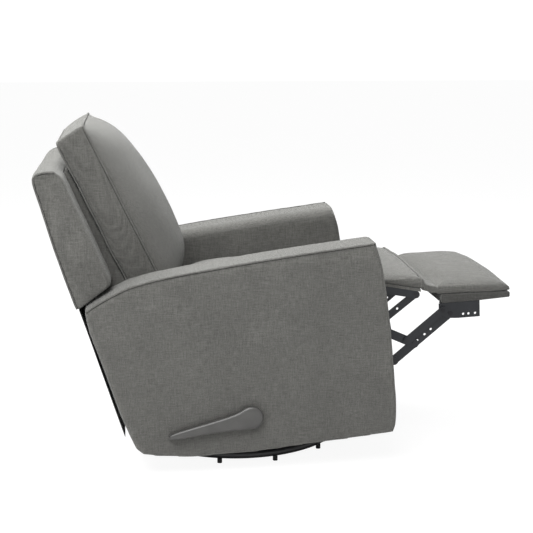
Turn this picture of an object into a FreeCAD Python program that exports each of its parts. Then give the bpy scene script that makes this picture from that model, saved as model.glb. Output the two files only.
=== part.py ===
import FreeCAD, Part
import math
import os
import re

import Sketcher
from FreeCAD import Placement, Rotation, Vector

# Swivel glider recliner with the footrest open.
# X points to the front of the chair, Y to the sitter's left and Z up.
# The origin is on the floor, on the swivel axis.
# The seat box is drawn level and then tipped about its rear tilt pins, as the open footrest tips it.
# All lengths are millimetres and all angles are degrees.
SIZES = {
    # Overall
    "overall_width": 805,
    "arm_width": 145,
    "seat_tilt": 2.93,
    "plate_thick": 3,
    "layer_gap": 1.5,
    "running_gap": 0.05,
    "soft_gap": 0.5,
    # Floor ring and swivel
    "ring_radius": 312,
    "ring_tube_radius": 11,
    "ring_height": 24.5,
    "glide_count": 12,
    "glide_radius": 7,
    "glide_height": 13,
    "glide_stem_radius": 3,
    "glide_stem_rise": 5,
    "glide_first_angle": 15,
    "cross_arm_width": 45,
    "cross_arm_low": 24,
    "cross_arm_thick": 6,
    "swivel_plate_radius": 110,
    "swivel_bolt_radius": 8,
    "swivel_bolt_head": 14,
    "ball_count": 18,
    "ball_radius": 4.5,
    "ball_circle_radius": 85,
    "ball_gap": 0.15,
    # Glider
    "hanger_length": 120,
    "hanger_top": 230,
    "hanger_spread": 120,
    "hanger_thick": 6,
    "hanger_end_radius": 14,
    "hanger_pin_radius": 5,
    "hanger_pin_head": 8,
    "glider_side_inner": 190,
    "glider_side_low": 50,
    "glider_side_half": 150,
    "glider_layer_gap": 2,
    "base_tube_width": 30,
    "base_tube_height": 20,
    "base_tube_wall": 2,
    "base_tube_x": 60,
    "platform_half": 205,
    "platform_low": 95,
    "platform_top": 150,
    "platform_tube_radius": 10,
    "platform_tube_wall": 2,
    "platform_tube_x": 192,
    "platform_tube_z": 122,
    "tilt_pivot_x": -150,
    "tilt_pivot_z": 160,
    "tilt_pin_radius": 8,
    "tilt_eye_radius": 20,
    # Arms
    "arm_rear_low_x": -314,
    "arm_rear_low_z": 79,
    "arm_front_low_x": 403,
    "arm_front_low_z": 80,
    "arm_front_top_x": 372,
    "arm_front_top_z": 628,
    "arm_hump_x": -190,
    "arm_hump_z": 576.5,
    "arm_rear_top_x": -432,
    "arm_rear_top_z": 495,
    "arm_rear_bow": 11,
    "arm_hump_bow": 22,
    "arm_bottom_bow": 25,
    "arm_shell": 15,
    "arm_roll_radius": 16,
    "arm_panel_thick": 15,
    "arm_frame_inset": 26,
    "arm_frame_rail": 60,
    # Seat box
    "seat_frame_low": 425,
    "seat_frame_thick": 22,
    "seat_frame_rear": -190,
    "seat_frame_front": 335,
    "seat_frame_rail": 38,
    "seat_spring_count": 5,
    "seat_spring_wire": 1.9,
    "seat_spring_pitch": 78,
    "seat_spring_swing": 16,
    "seat_spring_turns": 14,
    "seat_cushion_rear": -132,
    "seat_cushion_front": 354,
    "seat_cushion_low": 448,
    "seat_cushion_side_top": 488,
    "seat_cushion_crown": 512,
    "seat_cushion_side_gap": 4.5,
    "rear_rail_x": -285,
    "rear_rail_thick": 20,
    "rear_rail_low": 92,
    "rear_rail_high": 200,
    "rear_cloth_side_gap": 57.5,
    "rear_cloth_thick": 1.5,
    "rear_cloth_top_x": -466,
    "rear_cloth_top_z": 474,
    "rear_cloth_low_x": -350,
    "rear_cloth_low_z": 104,
    # Footrest linkage, level positions
    "lower_pivot_x": 218,
    "lower_pivot_z": 355,
    "upper_pivot_x": 280,
    "upper_pivot_z": 402,
    "mid_pivot_x": 372,
    "mid_pivot_z": 468,
    "link_reach_x": 227,
    "link_reach_z": -115,
    "bar_reach_x": 172,
    "bar_reach_z": 130,
    "thin_bar_step_x": -23,
    "thin_bar_step_z": 12,
    "tab_reach_x": 144,
    "tab_reach_z": -34,
    "tab_foot_x": 6,
    "tab_foot_z": -46,
    "link_half_width": 13.2,
    "thin_half_width": 11,
    "rivet_radius": 4,
    "rivet_head_radius": 7,
    "rivet_head_thick": 1.2,
    "torque_tube_side": 20,
    "torque_tube_wall": 1.5,
    "torque_tube_reach": 60,
    "foot_bracket_rear_x": 602,
    "foot_bracket_front_x": 706,
    "foot_bracket_low_z": 354,
    "foot_bracket_top_z": 402,
    "foot_bracket_flange": 22,
    "foot_hole_radius": 3.6,
    "foot_board_rear_x": 590,
    "foot_board_front_x": 793,
    "foot_board_top_z": 429,
    "foot_pad_rear_x": 578,
    "foot_pad_front_x": 800,
    "foot_pad_crown_z": 482,
    "foot_pad_edge_z": 451,
    "foot_board_fall": 7,
    "footrest_side_gap": 5.5,
    "mid_pad_rear_x": 374,
    "mid_pad_front_x": 540,
    "mid_pad_top_z": 505,
    "mid_board_rear_x": 386,
    "mid_board_front_x": 530,
    "mid_board_thick": 8,
    "mid_flange_reach": 64,
    "mid_flange_width": 30,
    "mid_pad_side_gap": 7.5,
    # Handle
    "handle_pivot_x": 0,
    "handle_pivot_z": 162,
    "handle_angle": 8.5,
    "handle_hub_radius": 35,
    "handle_root_radius": 28,
    "handle_tip_radius": 9,
    "handle_length": 237,
    "handle_thick": 20,
    "handle_edge_round": 5,
    "handle_hub_step": 4,
    "handle_hub_round": 3,
    "handle_gap": 1.5,
    "handle_shaft_radius": 8,
    "handle_crank_length": 50,
    # Back
    "recline_pivot_x": -270,
    "recline_pivot_z": 300,
    "back_origin_x": -470,
    "back_origin_z": 481,
    "back_lean": 16.5,
    "back_side_step": 40.5,
    "back_top_rear": 373,
    "back_top_front": 362,
    "back_depth_top": 72,
    "back_depth_low": 104,
    "back_front_low": 42,
    "back_panel_thick": 14,
    "back_panel_side_gap": 11.5,
    "back_cavity_top": 345,
    "back_seam_gap": 3,
    "back_round": 18,
    "back_post_front": 38,
    "back_post_width": 25,
    "back_post_low": -150,
    "back_rail_height": 45,
    "back_spring_count": 4,
    "back_spring_pitch": 100,
    "back_spring_turns": 5,
    "filler_rear": 42,
    "filler_top": 363,
    "filler_depth_top": 86,
    "filler_depth_low": 136,
    "filler_low": -60,
    "cushion_origin_x": -343,
    "cushion_origin_z": 561,
    "cushion_lean": 25,
    "cushion_low": -118,
    "cushion_top": 408,
    "cushion_boxing": 84,
    "cushion_crown": 112,
    "cushion_overhang": 10.5,
    "cushion_low_side_gap": 7.5,
    "cushion_rear_bow": 8,
    "bracket_bend_x": 27,
    "bracket_bend_z": -95,
    "bracket_top_z": -15,
}

NAME = re.compile(r"[a-z][a-z_]+")

doc = FreeCAD.newDocument("swivel_glider_recliner")
sheet = doc.addObject("Spreadsheet::Sheet", "sizes")
for row, (name, number) in enumerate(SIZES.items(), start=1):
    sheet.set(f"A{row}", name)
    sheet.set(f"B{row}", str(number))
    sheet.setAlias(f"B{row}", name)
doc.recompute()

sub_parts = []


def linked(expression):
    """Points every size name in an expression at its cell in the sheet."""
    return NAME.sub(lambda word: "sizes." + word.group() if word.group() in SIZES else word.group(), expression)


def size(expression):
    """The number that an expression of size names gives."""
    return float(sheet.evalExpression(linked(expression)))


def joined(*terms):
    """One expression that adds the terms."""
    return " + ".join(f"({term})" for term in terms)


def keep(label, feature):
    """Names a finished sub-part and lists it for export."""
    feature.Label = label
    sub_parts.append(feature)
    return feature


def new_body(label):
    body = doc.addObject("PartDesign::Body", label)
    body.Label = label
    return body


def sketch_at(body, plane, offset):
    """An empty sketch on one of the body's own planes, moved along the plane's normal by an expression."""
    sketch = body.newObject("Sketcher::SketchObject", "outline")
    base = [feature for feature in body.Origin.OriginFeatures if feature.Role == plane][0]
    sketch.AttachmentSupport = [(base, "")]
    sketch.MapMode = "FlatFace"
    sketch.setExpression("AttachmentOffset.Base.z", linked(offset))
    return sketch


def pin_point(sketch, geometry, position, across, upward):
    """Ties one sketch point to two expressions."""
    for kind, expression in (("DistanceX", across), ("DistanceY", upward)):
        constraint = Sketcher.Constraint(kind, -1, 1, geometry, position, size(expression))
        index = sketch.addConstraint(constraint)
        sketch.setExpression(f"Constraints[{index}]", linked(expression))


def draw_outline(sketch, corners):
    """A closed outline. A corner is (across, upward), with (across, upward) of an arc's middle after it if the
    edge that leaves it is an arc."""
    places = [Vector(size(corner[0]), size(corner[1]), 0) for corner in corners]
    edges = []
    for number, corner in enumerate(corners):
        start = places[number]
        end = places[(number + 1) % len(places)]
        if len(corner) == 2:
            edges.append((sketch.addGeometry(Part.LineSegment(start, end), False), 1, 2))
            continue
        middle = Vector(size(corner[2]), size(corner[3]), 0)
        turns_left = (middle - start).cross(end - middle).z > 0
        arc = Part.Arc(start, middle, end) if turns_left else Part.Arc(end, middle, start)
        geometry = sketch.addGeometry(arc, False)
        edges.append((geometry, 1, 2) if turns_left else (geometry, 2, 1))
        marker = sketch.addGeometry(Part.Point(middle), True)
        pin_point(sketch, marker, 1, corner[2], corner[3])
        sketch.addConstraint(Sketcher.Constraint("PointOnObject", marker, 1, geometry))
    for number, (geometry, first, last) in enumerate(edges):
        following = edges[(number + 1) % len(edges)]
        sketch.addConstraint(Sketcher.Constraint("Coincident", geometry, last, following[0], following[1]))
        pin_point(sketch, geometry, first, corners[number][0], corners[number][1])


def draw_circle(sketch, across, upward, radius):
    centre = Vector(size(across), size(upward), 0)
    geometry = sketch.addGeometry(Part.Circle(centre, Vector(0, 0, 1), size(radius)), False)
    pin_point(sketch, geometry, 3, across, upward)
    index = sketch.addConstraint(Sketcher.Constraint("Radius", geometry, size(radius)))
    sketch.setExpression(f"Constraints[{index}]", linked(radius))


def draw_bar(sketch, start, end, start_radius, end_radius):
    """The outline of a link: a round end on each pivot, joined by two straight tangent edges."""
    first = Vector(size(start[0]), size(start[1]), 0)
    last = Vector(size(end[0]), size(end[1]), 0)
    run = last - first
    wide = size(start_radius)
    narrow = size(end_radius)
    heading = math.atan2(run.y, run.x)
    side = math.acos((wide - narrow) / run.Length)
    turn = Vector(0, 0, 1)
    tail = Part.ArcOfCircle(Part.Circle(first, turn, wide), heading + side, heading - side + 2 * math.pi)
    nose = Part.ArcOfCircle(Part.Circle(last, turn, narrow), heading - side, heading + side)
    rear = sketch.addGeometry(tail, False)
    front = sketch.addGeometry(nose, False)
    below = sketch.addGeometry(Part.LineSegment(tail.EndPoint, nose.StartPoint), False)
    above = sketch.addGeometry(Part.LineSegment(nose.EndPoint, tail.StartPoint), False)
    chain = ((rear, 2, below, 1), (below, 2, front, 1), (front, 2, above, 1), (above, 2, rear, 1))
    for geometry, position, following, start_position in chain:
        sketch.addConstraint(Sketcher.Constraint("Tangent", geometry, position, following, start_position))
    for geometry, place, radius in ((rear, start, start_radius), (front, end, end_radius)):
        pin_point(sketch, geometry, 3, place[0], place[1])
        index = sketch.addConstraint(Sketcher.Constraint("Radius", geometry, size(radius)))
        sketch.setExpression(f"Constraints[{index}]", linked(radius))


def pad(body, sketch, length):
    feature = body.newObject("PartDesign::Pad", "pad")
    feature.Profile = sketch
    feature.setExpression("Length", linked(length))
    doc.recompute()
    return feature


def pocket(body, sketch, depth=None):
    """Cuts along the sketch's normal, to a depth or right through, and makes sure that something was cut."""
    before = body.Shape.Volume
    feature = body.newObject("PartDesign::Pocket", "pocket")
    feature.Profile = sketch
    feature.Reversed = True
    if depth is None:
        feature.Type = "ThroughAll"
    else:
        feature.setExpression("Length", linked(depth))
    doc.recompute()
    if body.Shape.Volume >= before:
        raise RuntimeError(f"the pocket in {body.Label} cuts nothing")
    return feature


def round_edges(body, radius, chosen):
    """Fillets the body's edges that the test picks."""
    before = body.Tip
    names = [f"Edge{number}" for number, edge in enumerate(before.Shape.Edges, start=1) if chosen(edge)]
    feature = body.newObject("PartDesign::Fillet", "fillet")
    feature.Base = (before, names)
    feature.setExpression("Radius", linked(radius))
    doc.recompute()
    return feature


def turn_and_move(feature, angle, from_x, from_z, to_x, to_z):
    """Tips a feature towards the rear about the Y axis and carries its point (from) to the place (to)."""
    feature.Placement = Placement(Vector(0, 0, 0), Rotation(Vector(0, -1, 0), size(angle)))
    feature.setExpression("Placement.Rotation.Angle", linked(angle))
    feature.setExpression(
        "Placement.Base.x", linked(f"({to_x}) - (({from_x}) * cos({angle}) - ({from_z}) * sin({angle}))")
    )
    feature.setExpression(
        "Placement.Base.z", linked(f"({to_z}) - (({from_x}) * sin({angle}) + ({from_z}) * cos({angle}))")
    )
    return feature


def on_seat_box(feature):
    """Tips a level piece about the tilt pins, with the seat box."""
    pivot = ("tilt_pivot_x", "tilt_pivot_z")
    return turn_and_move(feature, "seat_tilt", *pivot, *pivot)


def on_back(feature):
    """Leans a piece drawn upright against the back's rear face."""
    return turn_and_move(feature, "back_lean", "0", "0", "back_origin_x", "back_origin_z")


def left_of(label, source):
    """The mirror-image piece on the sitter's left."""
    mirrored = doc.addObject("Part::Mirroring", label)
    mirrored.Source = source
    mirrored.Normal = Vector(0, 1, 0)
    mirrored.Base = Vector(0, 0, 0)
    doc.recompute()
    return mirrored


def group(label, members):
    """Identical loose pieces that share one node."""
    compound = doc.addObject("Part::Compound", label)
    compound.Links = members
    doc.recompute()
    return keep(label, compound)


def pair(label, right):
    """A right piece and its mirror image in one node."""
    return group(label, [right, left_of(label + "_left", right)])


def both_sides(name, right):
    """A right piece and its mirror image as two nodes."""
    keep("right_" + name, right)
    keep("left_" + name, left_of("left_" + name, right))


def side_plate_body(label, inner, thickness, draw):
    """A flat piece on the right side, whose outline draw() puts in the sketch. Inner is its distance from the
    middle of the chair."""
    body = new_body(label)
    sketch = sketch_at(body, "XZ_Plane", inner)
    draw(sketch)
    pad(body, sketch, thickness)
    return body


def cylinder_along_y(label, across, upward, radius, inner, outer):
    """A round pin on the right side, between two distances from the middle of the chair."""
    pin = doc.addObject("Part::Cylinder", label)
    pin.setExpression("Radius", linked(radius))
    pin.setExpression("Height", linked(f"({outer}) - ({inner})"))
    pin.Placement = Placement(Vector(0, 0, 0), Rotation(Vector(1, 0, 0), 90))
    pin.setExpression("Placement.Base.x", linked(across))
    pin.setExpression("Placement.Base.y", linked(f"-({inner})"))
    pin.setExpression("Placement.Base.z", linked(upward))
    return pin


def headed_pin(label, across, upward, shank, head, inner, outer, head_thick):
    """A rivet on the right side: a shank between two distances from the middle and a flat head on each end."""
    union = doc.addObject("Part::MultiFuse", label)
    union.Shapes = [
        cylinder_along_y(label + "_shank", across, upward, shank, inner, outer),
        cylinder_along_y(label + "_inner", across, upward, head, f"({inner}) - ({head_thick})", inner),
        cylinder_along_y(label + "_outer", across, upward, head, outer, f"({outer}) + ({head_thick})"),
    ]
    doc.recompute()
    return union


# Distances from the middle of the chair to the layers of side plates and links.
ARM_INNER = "overall_width / 2 - arm_width"
SIDE_PLATE = joined(ARM_INNER, "-plate_thick")
SEAT_CUSHION_HALF = joined(ARM_INNER, "-seat_cushion_side_gap")
FOOTREST_HALF = joined(ARM_INNER, "-footrest_side_gap")
MID_PAD_HALF = joined(ARM_INNER, "-mid_pad_side_gap")
REAR_CLOTH_HALF = "overall_width / 2 - rear_cloth_side_gap"
BACK_HALF = "overall_width / 2 - back_side_step"
BACK_PANEL_HALF = joined(ARM_INNER, "-back_panel_side_gap")
CUSHION_HALF = joined(ARM_INNER, "cushion_overhang")
CUSHION_HALF_LOW = joined(ARM_INNER, "-cushion_low_side_gap")


def layer(number):
    """The inner face of a layer of the linkage, counted inwards from the seat side plate."""
    return joined(SIDE_PLATE, f"-{number} * (plate_thick + layer_gap)")


# Footrest pivots, level, each an (across, upward) pair of expressions.
LOWER = ("lower_pivot_x", "lower_pivot_z")
UPPER = ("upper_pivot_x", "upper_pivot_z")
MID = ("mid_pivot_x", "mid_pivot_z")


def stepped(place, *steps):
    """A pivot that lies one or more named steps away from another."""
    across = joined(place[0], *[step + "_x" for step in steps])
    upward = joined(place[1], *[step + "_z" for step in steps])
    return (across, upward)


LOWER_KNEE = stepped(LOWER, "link_reach")
UPPER_KNEE = stepped(UPPER, "link_reach")
THIN_KNEE = stepped(UPPER, "link_reach", "thin_bar_step")
ANKLE = stepped(LOWER, "link_reach", "bar_reach")
THIN_ANKLE = stepped(LOWER, "link_reach", "bar_reach", "thin_bar_step")
TAB = stepped(UPPER, "tab_reach")
TAB_FOOT = stepped(TAB, "tab_foot")
MID_END = stepped(MID, "tab_reach")
RIVET_HOLE = "rivet_radius + running_gap"


def make_ring():
    """A round steel tube bent to a ring, with a socket for each glide."""
    ring = doc.addObject("Part::Torus", "ring_tube")
    ring.setExpression("Radius1", linked("ring_radius"))
    ring.setExpression("Radius2", linked("ring_tube_radius"))
    ring.setExpression("Placement.Base.z", linked("ring_height"))
    sockets = []
    for number in range(int(size("glide_count"))):
        socket = doc.addObject("Part::Cylinder", f"socket_{number}")
        socket.setExpression("Radius", linked("glide_stem_radius"))
        socket.setExpression("Height", linked("glide_stem_rise + glide_height"))
        place_on_circle(socket, "ring_radius", f"glide_first_angle + {number} * 360 / glide_count", "0")
        sockets.append(socket)
    cut = doc.addObject("Part::Cut", "base_ring")
    cut.Base = ring
    cut.Tool = join_features("ring_sockets", sockets)
    keep("base_ring", cut)


def join_features(label, members):
    union = doc.addObject("Part::MultiFuse", label)
    union.Shapes = members
    return union


def place_on_circle(feature, radius, angle, height):
    feature.setExpression("Placement.Base.x", linked(f"({radius}) * cos({angle})"))
    feature.setExpression("Placement.Base.y", linked(f"({radius}) * sin({angle})"))
    feature.setExpression("Placement.Base.z", linked(height))


def make_glides():
    """Round plastic floor glides, each with a stem pushed into the ring."""
    glides = []
    for number in range(int(size("glide_count"))):
        angle = f"glide_first_angle + {number} * 360 / glide_count"
        foot = doc.addObject("Part::Cylinder", f"glide_foot_{number}")
        foot.setExpression("Radius", linked("glide_radius"))
        foot.setExpression("Height", linked("glide_height"))
        place_on_circle(foot, "ring_radius", angle, "0")
        stem = doc.addObject("Part::Cylinder", f"glide_stem_{number}")
        stem.setExpression("Radius", linked("glide_stem_radius"))
        stem.setExpression("Height", linked("glide_height + glide_stem_rise"))
        place_on_circle(stem, "ring_radius", angle, "0")
        glides.append(join_features(f"glide_{number}", [foot, stem]))
    group("floor_glides", glides)


def make_cross_arms():
    """Two flat steel bars crossed under the swivel, with their ends shaped to the ring and welded to it."""
    body = new_body("crossed_bars")
    half = "cross_arm_width / 2"
    for turned in (False, True):
        sketch = sketch_at(body, "XY_Plane", "cross_arm_low")
        reach = ("ring_radius", half) if not turned else (half, "ring_radius")
        signs = (("-", "-"), ("", "-"), ("", ""), ("-", ""))
        corners = [(f"{sx}({reach[0]})", f"{sy}({reach[1]})") for sx, sy in signs]
        draw_outline(sketch, corners)
        pad(body, sketch, "cross_arm_thick")
    hole = sketch_at(body, "XY_Plane", "cross_arm_low")
    draw_circle(hole, "0", "0", "swivel_bolt_radius")
    pocket(body, hole)
    shaped = doc.addObject("Part::Cut", "cross_arms")
    shaped.Base = body
    shaped.Tool = doc.getObject("ring_tube")
    doc.recompute()
    keep("cross_arms", shaped)


def make_disc(label, low, hole_radius):
    body = new_body(label)
    sketch = sketch_at(body, "XY_Plane", low)
    draw_circle(sketch, "0", "0", "swivel_plate_radius")
    draw_circle(sketch, "0", "0", hole_radius)
    pad(body, sketch, "plate_thick")
    return keep(label, body)


LOWER_DISC = "cross_arm_low + cross_arm_thick"
BALL_CENTRE = joined(LOWER_DISC, "plate_thick", "ball_gap", "ball_radius")
UPPER_DISC = joined(BALL_CENTRE, "ball_radius", "ball_gap")
BASE_TUBE_LOW = joined(UPPER_DISC, "plate_thick")


def make_swivel():
    """Two round plates with a ring of balls between them, on a centre bolt."""
    make_disc("swivel_lower_plate", LOWER_DISC, "swivel_bolt_radius")
    make_disc("swivel_upper_plate", UPPER_DISC, "swivel_bolt_radius + running_gap")
    balls = []
    for number in range(int(size("ball_count"))):
        ball = doc.addObject("Part::Sphere", f"ball_{number}")
        ball.setExpression("Radius", linked("ball_radius"))
        place_on_circle(ball, "ball_circle_radius", f"{number} * 360 / ball_count", BALL_CENTRE)
        balls.append(ball)
    group("swivel_balls", balls)
    shank = doc.addObject("Part::Cylinder", "bolt_shank")
    shank.setExpression("Radius", linked("swivel_bolt_radius"))
    shank.setExpression("Height", linked(joined(BASE_TUBE_LOW, "-cross_arm_low", "layer_gap")))
    shank.setExpression("Placement.Base.z", linked("cross_arm_low"))
    head = doc.addObject("Part::Cylinder", "bolt_head")
    head.setExpression("Radius", linked("swivel_bolt_head"))
    head.setExpression("Height", linked("2 * plate_thick"))
    head.setExpression("Placement.Base.z", linked(joined(BASE_TUBE_LOW, "layer_gap")))
    nut = doc.addObject("Part::Cylinder", "bolt_nut")
    nut.setExpression("Radius", linked("swivel_bolt_head"))
    nut.setExpression("Height", linked("2 * plate_thick"))
    nut.setExpression("Placement.Base.z", linked("cross_arm_low - 2 * plate_thick"))
    keep("swivel_bolt", join_features("swivel_bolt", [shank, head, nut]))


GLIDER_SIDE = "glider_side_inner"
HANGER_SIDE = joined(GLIDER_SIDE, "plate_thick", "glider_layer_gap")
PLATFORM_SIDE = joined(HANGER_SIDE, "hanger_thick", "glider_layer_gap")


def make_glider_base():
    """Two square tubes across the swivel plate, and an upright plate on each end that holds the hangers."""
    tubes = []
    for sign, name in ((1, "front"), (-1, "rear")):
        body = new_body(f"{name}_base_tube")
        sketch = sketch_at(body, "XZ_Plane", "-glider_side_inner")
        for wall in ("0", "base_tube_wall"):
            left = f"{sign} * base_tube_x - base_tube_width / 2 + {wall}"
            right = f"{sign} * base_tube_x + base_tube_width / 2 - {wall}"
            low = joined(BASE_TUBE_LOW, wall)
            high = joined(BASE_TUBE_LOW, "base_tube_height", f"-{wall}")
            draw_outline(sketch, [(left, low), (right, low), (right, high), (left, high)])
        pad(body, sketch, "2 * glider_side_inner")
        tubes.append(body)
    group("glider_base_tubes", tubes)

    def draw(sketch):
        top = "hanger_top + hanger_end_radius"
        shoulder = "hanger_spread + hanger_end_radius"
        corners = [
            ("-glider_side_half", "glider_side_low"),
            ("glider_side_half", "glider_side_low"),
            (shoulder, top),
            ("hanger_spread - hanger_end_radius", top),
            ("0", f"{top} - 4 * hanger_end_radius"),
            ("-(hanger_spread - hanger_end_radius)", top),
            (f"-({shoulder})", top),
        ]
        draw_outline(sketch, corners)
        for sign in ("", "-"):
            draw_circle(sketch, f"{sign}hanger_spread", "hanger_top", "hanger_pin_radius")

    both_sides("glider_plate", side_plate_body("right_glider_plate", GLIDER_SIDE, "plate_thick", draw))


def make_hangers():
    """Four flat steel hangers that carry the moving platform, with their headed pins."""
    low = "hanger_top - hanger_length"
    gap = "glider_layer_gap / 2"
    upper_pins = []
    lower_pins = []
    for sign, name in (("", "front"), ("-", "rear")):
        across = f"{sign}hanger_spread"

        def draw(sketch, across=across):
            ends = ((across, low), (across, "hanger_top"))
            draw_bar(sketch, *ends, "hanger_end_radius", "hanger_end_radius")
            for end in ends:
                draw_circle(sketch, *end, "hanger_pin_radius + running_gap")

        pair(f"{name}_hangers", side_plate_body(f"{name}_hanger", HANGER_SIDE, "hanger_thick", draw))
        outer = joined(HANGER_SIDE, "hanger_thick", gap)
        pin = ("hanger_pin_radius", "hanger_pin_head")
        upper = headed_pin(f"{name}_upper", across, "hanger_top", *pin, GLIDER_SIDE, outer, f"{gap} - 0.2")
        inner = joined(HANGER_SIDE, f"-{gap}")
        platform_outer = joined(PLATFORM_SIDE, "plate_thick")
        lower = headed_pin(f"{name}_lower", across, low, *pin, inner, platform_outer, f"{gap} - 0.2")
        upper_pins += [upper, left_of(f"{name}_upper_left", upper)]
        lower_pins += [lower, left_of(f"{name}_lower_left", lower)]
    group("upper_hanger_pins", upper_pins)
    group("lower_hanger_pins", lower_pins)


def make_platform():
    """The moving frame: a plate outside each pair of hangers, joined by two round tubes."""

    def draw(sketch):
        corners = [
            ("-platform_half", "platform_low"),
            ("platform_half", "platform_low"),
            ("platform_half", "platform_top"),
            ("tilt_pivot_x + 2 * tilt_eye_radius", "platform_top"),
            ("tilt_pivot_x + tilt_eye_radius", "tilt_pivot_z + tilt_eye_radius"),
            ("tilt_pivot_x - tilt_eye_radius", "tilt_pivot_z + tilt_eye_radius"),
            ("-platform_half", "platform_top"),
        ]
        draw_outline(sketch, corners)
        for sign in ("", "-"):
            draw_circle(sketch, f"{sign}hanger_spread", "hanger_top - hanger_length", "hanger_pin_radius")
        draw_circle(sketch, "tilt_pivot_x", "tilt_pivot_z", "tilt_pin_radius + running_gap")

    both_sides("platform_plate", side_plate_body("right_platform_plate", PLATFORM_SIDE, "plate_thick", draw))
    tubes = []
    for sign, name in (("", "front"), ("-", "rear")):
        body = new_body(f"{name}_platform_tube")
        sketch = sketch_at(body, "XZ_Plane", f"-({PLATFORM_SIDE})")
        draw_circle(sketch, f"{sign}platform_tube_x", "platform_tube_z", "platform_tube_radius")
        bore = "platform_tube_radius - platform_tube_wall"
        draw_circle(sketch, f"{sign}platform_tube_x", "platform_tube_z", bore)
        pad(body, sketch, f"2 * ({PLATFORM_SIDE})")
        tubes.append(body)
    group("platform_tubes", tubes)


def arm_outline(inset="0"):
    """The side outline of an arm, shrunk by an inset: a bowed bottom, a straight front, a sloping top that
    curves down to the rear, and a bowed rear edge."""
    rear_low = (joined("arm_rear_low_x", inset), joined("arm_rear_low_z", inset))
    front_low = (joined("arm_front_low_x", f"-({inset})"), joined("arm_front_low_z", inset))
    front_top = (joined("arm_front_top_x", f"-({inset})"), joined("arm_front_top_z", f"-({inset})"))
    hump = (joined("arm_hump_x", inset), joined("arm_hump_z", f"-({inset})"))
    rear_top = (joined("arm_rear_top_x", inset), joined("arm_rear_top_z", f"-({inset})"))

    def bowed(start, end, bow_x, bow_z):
        middle_x = f"(({start[0]}) + ({end[0]})) / 2 + {bow_x}"
        middle_z = f"(({start[1]}) + ({end[1]})) / 2 + {bow_z}"
        return (start[0], start[1], middle_x, middle_z)

    return [
        bowed(rear_low, front_low, "0", "-arm_bottom_bow"),
        front_low,
        front_top,
        bowed(hump, rear_top, "-arm_hump_bow / 3", "arm_hump_bow"),
        bowed(rear_top, rear_low, "-arm_rear_bow", "0"),
    ]


def shaft_hole(body, start, radius):
    """A hole for the handle shaft through an arm piece or a plate."""
    hole = sketch_at(body, "XZ_Plane", start)
    draw_circle(hole, "handle_pivot_x", "handle_pivot_z", radius)
    pocket(body, hole)


def make_arms():
    """Each arm is a padded cover, open below, over a wooden frame of two panels and a block at each end."""
    cover = side_plate_body(
        "right_arm_cover", ARM_INNER, "arm_width", lambda sketch: draw_outline(sketch, arm_outline())
    )
    top_inner = size(joined(ARM_INNER))

    def rolled(edge):
        box = edge.BoundBox
        on_inner_face = abs(box.YMax + top_inner) < 0.01 and abs(box.YMin + top_inner) < 0.01
        return on_inner_face and box.ZMin > size("arm_rear_top_z") - 1 and box.XLength > 50

    round_edges(cover, "arm_roll_radius", rolled)
    cavity = sketch_at(cover, "XZ_Plane", joined(ARM_INNER, "arm_shell"))
    draw_outline(cavity, open_below(arm_outline("arm_shell")))
    pocket(cover, cavity, "arm_width - 2 * arm_shell")
    shaft_hole(cover, ARM_INNER, "handle_shaft_radius + 2")
    on_seat_box(cover)
    both_sides("arm_cover", cover)

    frame = new_body("right_arm_frame")
    inner = joined(ARM_INNER, "arm_shell", "soft_gap")
    span = "arm_width - 2 * arm_shell - 2 * soft_gap"
    blocks = sketch_at(frame, "XZ_Plane", inner)
    draw_outline(blocks, [place[:2] for place in arm_outline("arm_frame_inset")])
    inside = [place[:2] for place in arm_outline(joined("arm_frame_inset", "arm_frame_rail"))]
    draw_outline(blocks, inside)
    pad(frame, blocks, "arm_panel_thick")
    outer_blocks = sketch_at(frame, "XZ_Plane", joined(inner, span, "-arm_panel_thick"))
    draw_outline(outer_blocks, [place[:2] for place in arm_outline("arm_frame_inset")])
    draw_outline(outer_blocks, inside)
    spacer = sketch_at(frame, "XZ_Plane", inner)
    for left, right, low, high in arm_spacers():
        draw_outline(spacer, [(left, low), (right, low), (right, high), (left, high)])
    pad(frame, spacer, span)
    pad(frame, outer_blocks, "arm_panel_thick")
    shaft_hole(frame, inner, "handle_shaft_radius + 2")
    on_seat_box(frame)
    both_sides("arm_frame", frame)


def arm_spacers():
    """The four blocks that join an arm's two panels, one near each corner, as (left, right, low, high)."""
    edge = "arm_frame_inset + arm_frame_rail"
    rear = "arm_rear_low_x + arm_frame_inset + 4"
    front = f"arm_front_top_x - ({edge}) + 20"
    low = "arm_front_low_z + arm_frame_inset + 4"
    high = f"arm_rear_top_z - ({edge}) + 24"
    width = "arm_frame_rail - 24"
    return [
        (rear, f"{rear} + {width}", low, f"{low} + {width}"),
        (front, f"{front} + {width}", low, f"{low} + {width}"),
        (rear + " - 30", f"{rear} - 30 + {width}", high, f"{high} + {width}"),
        (front, f"{front} + {width}", "arm_front_top_z - arm_frame_inset - arm_frame_rail + 16",
         "arm_front_top_z - arm_frame_inset - 12"),
    ]


def open_below(outline):
    """The same outline with its bottom edge carried straight down past the arm's own bottom."""
    drop = "arm_shell + 3 * arm_bottom_bow"
    rear_low = outline[0]
    front_low = outline[1]
    lowered_rear = (rear_low[0], f"{rear_low[1]} - ({drop})")
    lowered_front = (front_low[0], f"{front_low[1]} - ({drop})")
    return [lowered_rear, lowered_front, front_low] + outline[2:] + [(rear_low[0], rear_low[1])]


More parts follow.
